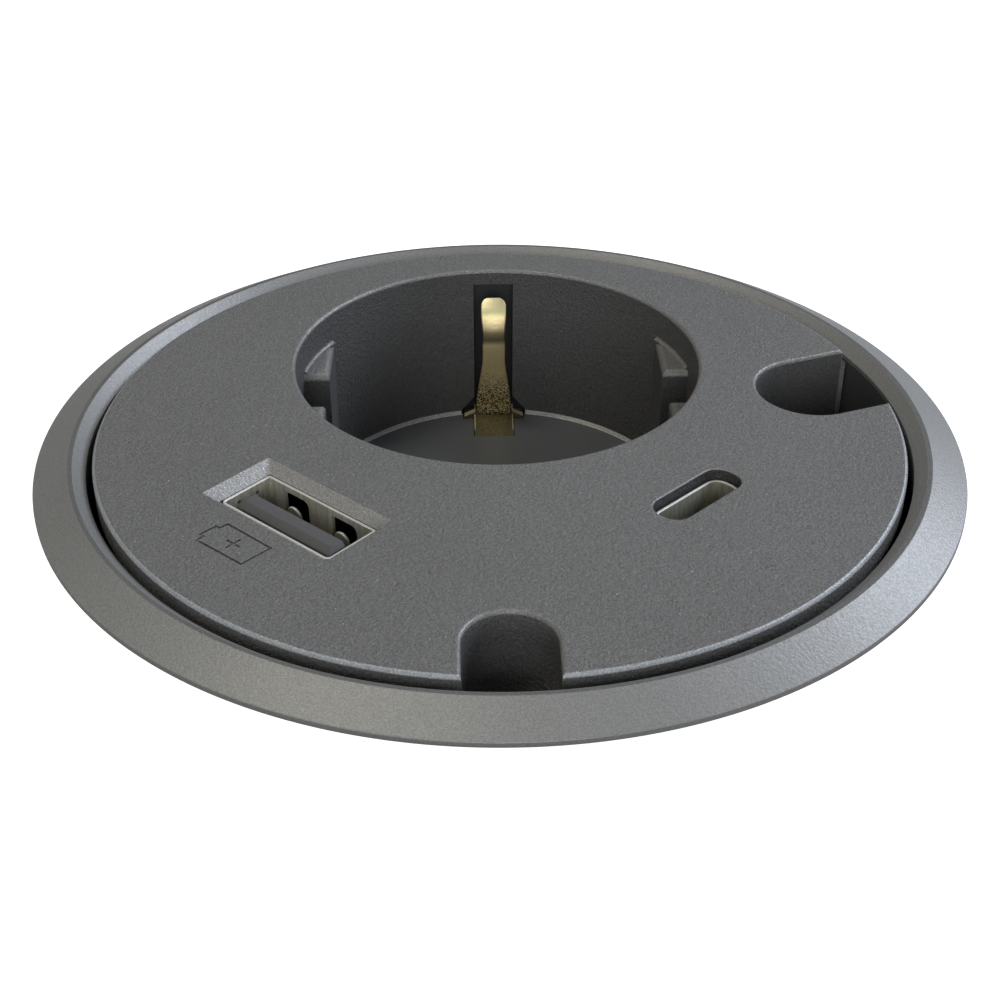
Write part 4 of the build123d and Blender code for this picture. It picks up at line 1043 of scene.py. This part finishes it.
def rib_foot(bm, side, half):
    """Hollow curve between a rib's top and the wall of the well."""
    radius, small = WELL_R - 0.05, RIB_FOOT
    profile = [Vector((radius + 0.3, RIB_TOP - 0.3)), Vector((radius + 0.3, RIB_TOP + small))]
    for k in range(7):
        profile.append(on_circle((radius - small, RIB_TOP + small), small, -math.pi / 2 * k / 6))
    profile.append(Vector((radius - small, RIB_TOP - 0.3)))
    start = math.asin((RIB_SLOT / 2 + RIB_FILLET * 0.7) / radius)
    end = math.acos(RIB_FLAT_X / radius) - 0.01
    rows = []
    for k in range(33):
        turn = start + (end - start) * k / 32
        c, s = math.cos(turn) * side, math.sin(turn) * half
        rows.append([bm.verts.new((p.x * c, p.x * s + WELL_Y, p.y)) for p in profile])
    stack(bm, rows)


def slot_cutter(bm, side):
    """Prism that cuts an earth clip's slot and the pocket behind it."""
    half, wide = CLIP_SLOT_W / 2, CLIP_SLOT_FLARE / 2
    low = FLOOR_UNDER - 0.5
    right = [(half, CLIP_SLOT_TOP), (half, CLIP_FLARE_TOP), (wide, CLIP_FLARE_FOOT), (wide, low)]
    outline = right[::-1] + [(-x, z) for x, z in right]
    ends = []
    for distance in (CLIP_SLOT_START, CLIP_POCKET_R):
        ends.append([bm.verts.new((x, WELL_Y + side * distance, z)) for x, z in outline])
    slab(bm, *ends)


def sign_cutters(bm):
    """Thin prisms for the battery outline and the plus in it."""
    low, high = PANEL_TOP - SIGN_DEPTH, PANEL_TOP + 0.2
    outline = [Vector(p) for p in SIGN_CORNERS]
    band = [grown(outline, SIGN_LINE / 2), grown(outline, -SIGN_LINE / 2)]
    levels = ((band[0], low), (band[0], high), (band[1], high), (band[1], low))
    skin_all(bm, [loop_at(bm, points, z) for points, z in levels], closed=True)
    arm, half = SIGN_PLUS_ARM, SIGN_LINE / 2
    plus = []
    for quarter in range(4):
        turn = Matrix.Rotation(math.pi / 2 * quarter, 2)
        plus += [turn @ Vector(p) for p in ((half, half), (half, arm), (-half, arm))]
    prism(bm, placed(plus, SIGN_PLUS, USB_A_DEG), low, high)


def face_panel():
    """The panel with its guide ribs, clip pockets, notch skirts and sign."""
    piece = panel_body()
    extra, feet = bmesh.new(), bmesh.new()
    for notch in (FRONT_NOTCH, RIGHT_NOTCH):
        prism(extra, skirt_outline(notch), SKIRT_Z, SKIRT_TOP)
    for side in (-1, 1):
        for half in (-1, 1):
            guide_rib(extra, side, half)
            rib_foot(feet, side, half)
        spans = (WELL_FLOOR_R + 0.6, CLIP_POCKET_R + POCKET_WALL)
        near, far = sorted(WELL_Y + side * span for span in spans)
        wide = CLIP_SLOT_FLARE / 2 + POCKET_WALL
        box(extra, (-wide, near, FLOOR_UNDER), (wide, far, PANEL_UNDER))
    boolean(piece, extra, "UNION")
    boolean(piece, feet, "UNION")
    cuts = bmesh.new()
    slot_cutter(cuts, 1)
    slot_cutter(cuts, -1)
    sign_cutters(cuts)
    boolean(piece, cuts, "DIFFERENCE")
    adopt(piece, "root", "panel_plastic", "face_panel")


def tube_prism(bm, outer, inner, z_low, z_high, edge):
    """Upright tube between two outlines with as many points, its rim rounded."""
    turns = [math.pi / 2 * k / 3 for k in range(4)]
    levels = [(outer, -1, turn) for turn in turns] + [(inner, 1, turn) for turn in reversed(turns)]
    loops = [loop_at(bm, outer, z_low)]
    for outline, sign, turn in levels:
        inset = edge * (1 - math.cos(turn))
        loops.append(loop_at(bm, grown(outline, sign * inset), z_high - edge + edge * math.sin(turn)))
    loops.append(loop_at(bm, inner, z_low))
    skin_all(bm, loops, closed=True)


def plate(bm, outline, thickness, edge):
    """Flat plate about z = 0 with both faces' edges rounded."""
    loops = []
    for sign in (-1, 1):
        levels = [(edge * (1 - math.sin(a)), edge * (1 - math.cos(a))) for a in (0.0, 0.52, 1.05, 1.5708)]
        run = [loop_at(bm, grown(outline, -inset), sign * (thickness / 2 - drop)) for inset, drop in levels]
        loops += run if sign < 0 else run[::-1]
    stack(bm, loops)


def finger_outline(width, height):
    """Upright spring finger: straight sides and a round end."""
    half, straight = width / 2, height - width / 2
    outline = [Vector((-half, 0.0)), Vector((half, 0.0)), Vector((half, straight * 0.5))]
    return outline + arc((0, straight), half, 0, 180, step=12)


def port_place(at, degrees):
    return Matrix.Translation((*at, 0.0)) @ Matrix.Rotation(math.radians(degrees), 4, "Z")


USB_A_PLACE = port_place(USB_A_AT, USB_A_DEG)


def window_places(z, tilt=0.0):
    """Where an upright outline lies at each spring window of the USB-A shell, at one height."""
    wall_y = (USB_A_SHELL[1] - SHELL_T) / 2
    upright = Matrix.Rotation(math.pi / 2, 4, "X")
    places = []
    for x in (-USB_A_WINDOW_X, USB_A_WINDOW_X):
        for side in (-1, 1):
            lean = Matrix.Rotation(math.radians(side * tilt), 4, "X")
            spot = Matrix.Translation((x, side * wall_y, z))
            places.append(USB_A_PLACE @ spot @ lean @ upright)
    return places


def usb_a_shell():
    """Folded metal shell with rounded rim, its windows, and a spring finger in each."""
    bm = bmesh.new()
    length, width = USB_A_SHELL
    outer = rounded_rect(length, width, USB_A_OUTER_CORNERS, 5)
    inner = rounded_rect(length - 2 * SHELL_T, width - 2 * SHELL_T, USB_A_INNER_CORNERS, 5)
    tube_prism(bm, outer, inner, USB_BOARD_TOP, USB_A_TOP, 0.09)
    moved(bm, 0, USB_A_PLACE)
    piece = make_object("usb_a_shell_fine", bm)
    half, high = USB_A_WINDOW[0] / 2, USB_A_WINDOW[1] / 2
    round_r = USB_A_WINDOW_CORNER
    corner = arc((half - round_r, high - round_r), round_r, 0, 90, step=15)
    window = [Vector((-half, -high)), Vector((half, -high))] + corner + [Vector((-half, high))]
    cuts = bmesh.new()
    for place in window_places(USB_A_WINDOW_Z):
        start = len(cuts.verts)
        prism(cuts, window, -0.5, 0.5)
        moved(cuts, start, place)
    start = len(cuts.verts)
    peep_w, peep_h = USB_A_PEEP
    for y in USB_A_PEEP_Y:
        low = (-length / 2 - 0.5, y - peep_w / 2, USB_A_PEEP_Z - peep_h / 2)
        box(cuts, low, (-length / 2 + 0.6, y + peep_w / 2, USB_A_PEEP_Z + peep_h / 2))
    moved(cuts, start, USB_A_PLACE)
    boolean(piece, cuts, "DIFFERENCE")
    fingers = bmesh.new()
    for place in window_places(USB_A_WINDOW_Z - high - 0.3, USB_A_FINGER_TILT):
        start = len(fingers.verts)
        plate(fingers, finger_outline(*USB_A_FINGER), SHELL_T, 0.11)
        moved(fingers, start, place)
    boolean(piece, fingers, "UNION")
    adopt(piece, "root", "usb_nickel", "usb_a_shell")


def usb_a_tongue():
    """Tongue with a chamfered tip on its base block."""
    bm = bmesh.new()
    long_side, short_side = USB_A_TONGUE
    drop, reach = USB_A_CHAMFER
    near, far = USB_A_TONGUE_Y - short_side / 2, USB_A_TONGUE_Y + short_side / 2
    half, top = long_side / 2, USB_A_TONGUE_TOP
    levels = [
        (0.0, 0.0, USB_BOARD_TOP), (0.0, 0.0, top - drop - 0.03), (0.0, 0.03, top - drop + 0.02),
        (0.3, reach - 0.04, top - 0.02), (0.35, reach, top),
    ]
    loops = []
    for end, side, z in levels:
        x, y_low, y_high = half - end, near + side, far - min(end, 0.05)
        loops.append(loop_at(bm, ((x, y_low), (x, y_high), (-x, y_high), (-x, y_low)), z))
    stack(bm, loops)
    moved(bm, 0, USB_A_PLACE)
    piece = make_object("usb_a_tongue_fine", bm)
    base = bmesh.new()
    inside = rounded_rect(USB_A_SHELL[0] - 2 * SHELL_T - 0.1, USB_A_SHELL[1] - 2 * SHELL_T - 0.1, 0.3, 5)
    prism(base, inside, USB_BOARD_TOP, USB_BOARD_TOP + USB_A_BASE_H, 0.1)
    boolean(piece, base, "UNION", USB_A_PLACE)
    adopt(piece, "root", "tongue_plastic", "usb_a_tongue")


def usb_c_shell():
    """Drawn oval shell with a rounded rim."""
    bm = bmesh.new()
    length, width = USB_C_SHELL
    outer = rounded_rect(length, width, USB_C_SHELL_CORNER, 12)
    inner = rounded_rect(length - 2 * SHELL_T, width - 2 * SHELL_T, USB_C_SHELL_CORNER - SHELL_T, 12)
    tube_prism(bm, outer, inner, USB_C_LOW, USB_C_TOP, 0.1)
    moved(bm, 0, port_place(USB_C_AT, USB_C_DEG))
    adopt(make_object("usb_c_shell_fine", bm), "root", "usb_nickel", "usb_c_shell")


def bent_path(points, radii, step=0.1):
    """Finely divided path through (y, z) points, with its inner corners rounded."""
    corners = [Vector(p) for p in points]
    run = [corners[0]]
    for i, radius in enumerate(radii, start=1):
        centre, start, sweep = corner_arc(corners[i - 1], corners[i], corners[i + 1], radius)
        run += swept(centre, start, sweep, max(3, int(abs(sweep) * radius / step)))
    run.append(corners[-1])
    fine = [run[0]]
    for p in run[1:]:
        count = max(1, int((p - fine[-1]).length / step))
        begin = fine[-1]
        fine += [begin.lerp(p, k / count) for k in range(1, count + 1)]
    return fine


def clip_half_width(z, left):
    """Half the width of an earth clip by height, and by the length left to its free end."""
    marks = [
        (CLIP_PIVOT[1] - CLIP_T, CLIP_BASE_W), (CLIP_PIVOT[1] + 1.2, CLIP_BASE_W),
        (CLIP_BULGE[1] - 2.5, CLIP_NECK_W), (CLIP_BULGE[1], CLIP_NECK_W),
        (CLIP_BULGE[1] + 2.4, CLIP_TIP_W),
    ]
    width = CLIP_TIP_W
    for (z_a, w_a), (z_b, w_b) in zip(marks, marks[1:]):
        if z <= z_b:
            share = max(0.0, (z - z_a) / (z_b - z_a))
            width = w_a + (w_b - w_a) * share * share * (3 - 2 * share)
            break
    if left < CLIP_CROWN:
        away = CLIP_CROWN - left
        return width / 2 - CLIP_CROWN + math.sqrt(max(CLIP_CROWN ** 2 - away ** 2, 0.0))
    return width / 2


def sprung_strip(bm, path, half_width, thickness, edge=0.14, end=0.12):
    """Strip along a (y, z) path, with rounded edges and a rounded free end."""
    rows = []
    length = sum((b - a).length for a, b in zip(path, path[1:]))
    travelled = 0.0
    for i, spot in enumerate(path):
        if i:
            travelled += (spot - path[i - 1]).length
        along = (path[min(i + 1, len(path) - 1)] - path[max(i - 1, 0)]).normalized()
        across = Vector((-along.y, along.x))
        left = max(length - travelled, 0.0)
        lost = 0.0
        if left < end:
            lost = end - math.sqrt(max(end * end - (end - left) ** 2, 0.0))
        thin = thickness - 2 * lost
        outline = rounded_rect(2 * half_width(spot.y, left) - 2 * lost, thin, min(edge, thin * 0.45), 3)
        rows.append([bm.verts.new((p.x, *(spot + across * p.y))) for p in outline])
    stack(bm, rows)


def well_place(turn):
    return Matrix.Translation((0.0, WELL_Y, 0.0)) @ Matrix.Rotation(turn, 4, "Z")


def earth_clips():
    """The two sprung clips, one the other turned half round the well."""
    low = (CLIP_PIVOT[0], CLIP_PIVOT[1] - CLIP_T / 2)
    lean = (CLIP_PIVOT[0], CLIP_PIVOT[1] + 1.6)
    path = bent_path([low, lean, CLIP_BULGE, CLIP_CURL, CLIP_TIP], CLIP_BENDS)
    for name, body, turn in (("far", "far_clip", 0.0), ("near", "near_clip", math.pi)):
        bm = bmesh.new()
        sprung_strip(bm, path, clip_half_width, CLIP_T)
        moved(bm, 0, well_place(turn))
        piece = make_object(f"earth_clip_{name}_fine", bm)
        adopt(piece, body, "clip_brass", f"earth_clip_{name}", angle=40)


def bridge_strip():
    """The folded strip: flat under the well's floor, up at both ends and out to the clips."""
    bm = bmesh.new()
    t, low = BRIDGE_T, BRIDGE_Z - BRIDGE_T / 2
    rise_y, rise_z = FOOT_RISE
    end = [
        (BRIDGE_END, rise_z), FOOT_RISE, (FOOT_FRONT, FOOT_TOP), (FOOT_FRONT, BRIDGE_Z + t / 2),
    ]
    under = [
        (FOOT_FRONT + t, low), (FOOT_FRONT + t, FOOT_TOP - t), (rise_y, rise_z - t), (BRIDGE_END, rise_z - t),
    ]
    side = end + mirrored(end) + mirrored(under) + under
    slab(bm, *[[bm.verts.new((x, WELL_Y + y, z)) for y, z in side] for x in (-FOOT_W / 2, FOOT_W / 2)])
    return make_object("earth_bridge_fine", bm)


def mirrored(points):
    """Points on the other side of the well's middle, in reverse order."""
    return [(-y, z) for y, z in reversed(points)]


def bridge_wings(bm):
    """Raised sheared edges on both sides of a clip."""
    (x_in, z_in), (x_out, z_out) = WING
    x_low, z_low = x_in - 0.3, FOOT_TOP - 0.4
    outline = [(x_low, z_low), (x_out, z_low), (x_out, z_out), (x_in, z_in), (x_low, z_in)]
    for mirror in (-1, 1):
        slab(bm, *[[bm.verts.new((mirror * x, y, z)) for x, z in outline] for y in WING_R])


def earth_bridge():
    """Brass strip under the well's floor, with a foot and raised shoulders at each clip."""
    piece = bridge_strip()
    t, low = BRIDGE_T, BRIDGE_Z - BRIDGE_T / 2
    wide, start = SHOULDER
    reach, gap = CLIP_WINDOW
    for turn in (0.0, math.pi):
        place = well_place(turn)
        shoulder, wings, window = bmesh.new(), bmesh.new(), bmesh.new()
        box(shoulder, (-wide, start, FOOT_TOP - t), (wide, BRIDGE_END - 0.1, FOOT_TOP))
        boolean(piece, shoulder, "UNION", place)
        bridge_wings(wings)
        boolean(piece, wings, "UNION", place)
        clip_y = CLIP_PIVOT[0]
        box(window, (-reach, clip_y - gap, FOOT_TOP - 2.0), (reach, clip_y + gap, FOOT_TOP + 2.0))
        boolean(piece, window, "DIFFERENCE", place)
    tail, eye, hole = bmesh.new(), bmesh.new(), bmesh.new()
    tail_half, tail_length = BRIDGE_TAIL[0] / 2, BRIDGE_TAIL[1]
    box(tail, (-tail_half, WELL_Y - 15.0 - tail_length, low + 0.001), (tail_half, WELL_Y - 14.9, low + t))
    boolean(piece, tail, "UNION")
    prism(eye, circle(BRIDGE_EYE_R, (0, WELL_Y), 64), low + 0.001, low + t - 0.001)
    boolean(piece, eye, "UNION")
    prism(hole, circle(BRIDGE_HOLE_R, (0, WELL_Y), 48), low - 1.0, low + t + 1.0)
    boolean(piece, hole, "DIFFERENCE")
    adopt(piece, "root", "clip_brass", "earth_bridge", material="bridge_brass_shaded")


# Stage

def fed(tree, kind, *sources):
    """First output of a new node whose inputs are linked in their order."""
    made = tree.nodes.new(kind)
    for source, socket in zip(sources, made.inputs):
        tree.links.new(source, socket)
    return made.outputs[0] if made.outputs else None


def white_stage(name, one_sided):
    """Pale floor: white to the camera and through glass, and it keeps the object's shadow."""
    material = bpy.data.materials.new(name)
    material.use_nodes = True
    tree = material.node_tree
    tree.nodes.clear()
    matt = tree.nodes.new("ShaderNodeBsdfDiffuse")
    matt.inputs["Color"].default_value = FLOOR_COLOUR
    glow = tree.nodes.new("ShaderNodeEmission")
    glow.inputs["Strength"].default_value = FLOOR_GLOW
    both = fed(tree, "ShaderNodeAddShader", matt.outputs[0], glow.outputs[0])
    seen = fed(tree, "ShaderNodeMixShader", seen_directly(tree), matt.outputs[0], both)
    if one_sided:
        geometry = tree.nodes.new("ShaderNodeNewGeometry")
        clear = tree.nodes.new("ShaderNodeBsdfTransparent")
        seen = fed(tree, "ShaderNodeMixShader", geometry.outputs["Backfacing"], seen, clear.outputs[0])
    fed(tree, "ShaderNodeOutputMaterial", seen)
    return material


def seen_directly(tree):
    """1 for camera and transmission rays."""
    path = tree.nodes.new("ShaderNodeLightPath").outputs
    either = fed(tree, "ShaderNodeMath", path["Is Camera Ray"], path["Is Transmission Ray"])
    either.node.operation = "MAXIMUM"
    return either


def white_surface(name, bm, white, one_sided):
    """Object of the stage, with its faces turned up."""
    surface = make_object(name, bm)
    if surface.data.polygons[0].normal.z < 0:
        surface.data.flip_normals()
    surface.data.materials.append(white_stage(white, one_sided))
    return surface


def stage():
    """The desk's surface round the socket, and a floor under the whole part."""
    bm = bmesh.new()
    skin(bm, *[loop_at(bm, circle(radius), DESK_DISC_Z) for radius in (DESK_HOLE_R, DESK_DISC_R)])
    desk = white_surface("desk_surface", bm, "desk_white", True)
    bm = bmesh.new()
    bm.faces.new(loop_at(bm, circle(FLOOR_R, steps=64), FLOOR_Z))
    floor = white_surface("floor", bm, "floor_white", False)


def world():
    """White background for the camera, and a faint sky for the light."""
    made = bpy.data.worlds.new("studio")
    bpy.context.scene.world = made
    made.use_nodes = True
    tree = made.node_tree
    tree.nodes.clear()
    white = tree.nodes.new("ShaderNodeBackground")
    white.inputs["Color"].default_value = (1.0, 1.0, 1.0, 1.0)
    soft = tree.nodes.new("ShaderNodeBackground")
    soft.inputs["Color"].default_value = SKY_COLOUR
    soft.inputs["Strength"].default_value = SKY_STRENGTH
    mix = fed(tree, "ShaderNodeMixShader", seen_directly(tree), soft.outputs[0], white.outputs[0])
    fed(tree, "ShaderNodeOutputWorld", mix)


def lights():
    """Soft square lamps, all turned to the object."""
    for name, azimuth, elevation, size, power, colour in LAMPS:
        data = bpy.data.lights.new(name, "AREA")
        data.shape = "SQUARE"
        data.size = size
        data.energy = power
        data.color = colour
        made = bpy.data.objects.new(name, data)
        bpy.context.scene.collection.objects.link(made)
        turn, rise = math.radians(azimuth), math.radians(elevation)
        flat = LAMP_DISTANCE * math.cos(rise)
        spot = Vector((flat * math.cos(turn), flat * math.sin(turn), LAMP_DISTANCE * math.sin(rise)))
        made.location = spot
        made.rotation_euler = (-spot).to_track_quat("-Z", "Y").to_euler()


def camera():
    """The photograph's view, for a square picture."""
    data = bpy.data.cameras.new("camera")
    made = bpy.data.objects.new("camera", data)
    bpy.context.scene.collection.objects.link(made)
    data.sensor_width = CAMERA_SENSOR
    data.lens = CAMERA_LENS
    data.clip_start = 0.01
    data.clip_end = 20.0
    made.location = CAMERA_AT
    made.rotation_euler = (math.pi / 2 - CAMERA_DOWN, 0.0, math.radians(CAMERA_TURN_DEG))
    bpy.context.scene.camera = made


camera()
bpy.context.scene.view_settings.view_transform = "Standard"
world()
lights()
stage()
dress_cad_nodes()
trim_ring()
mounting_sleeve()
clamp_washer()
clamp_nut()
face_panel()
usb_a_shell()
usb_a_tongue()
usb_c_shell()
earth_clips()
earth_bridge()
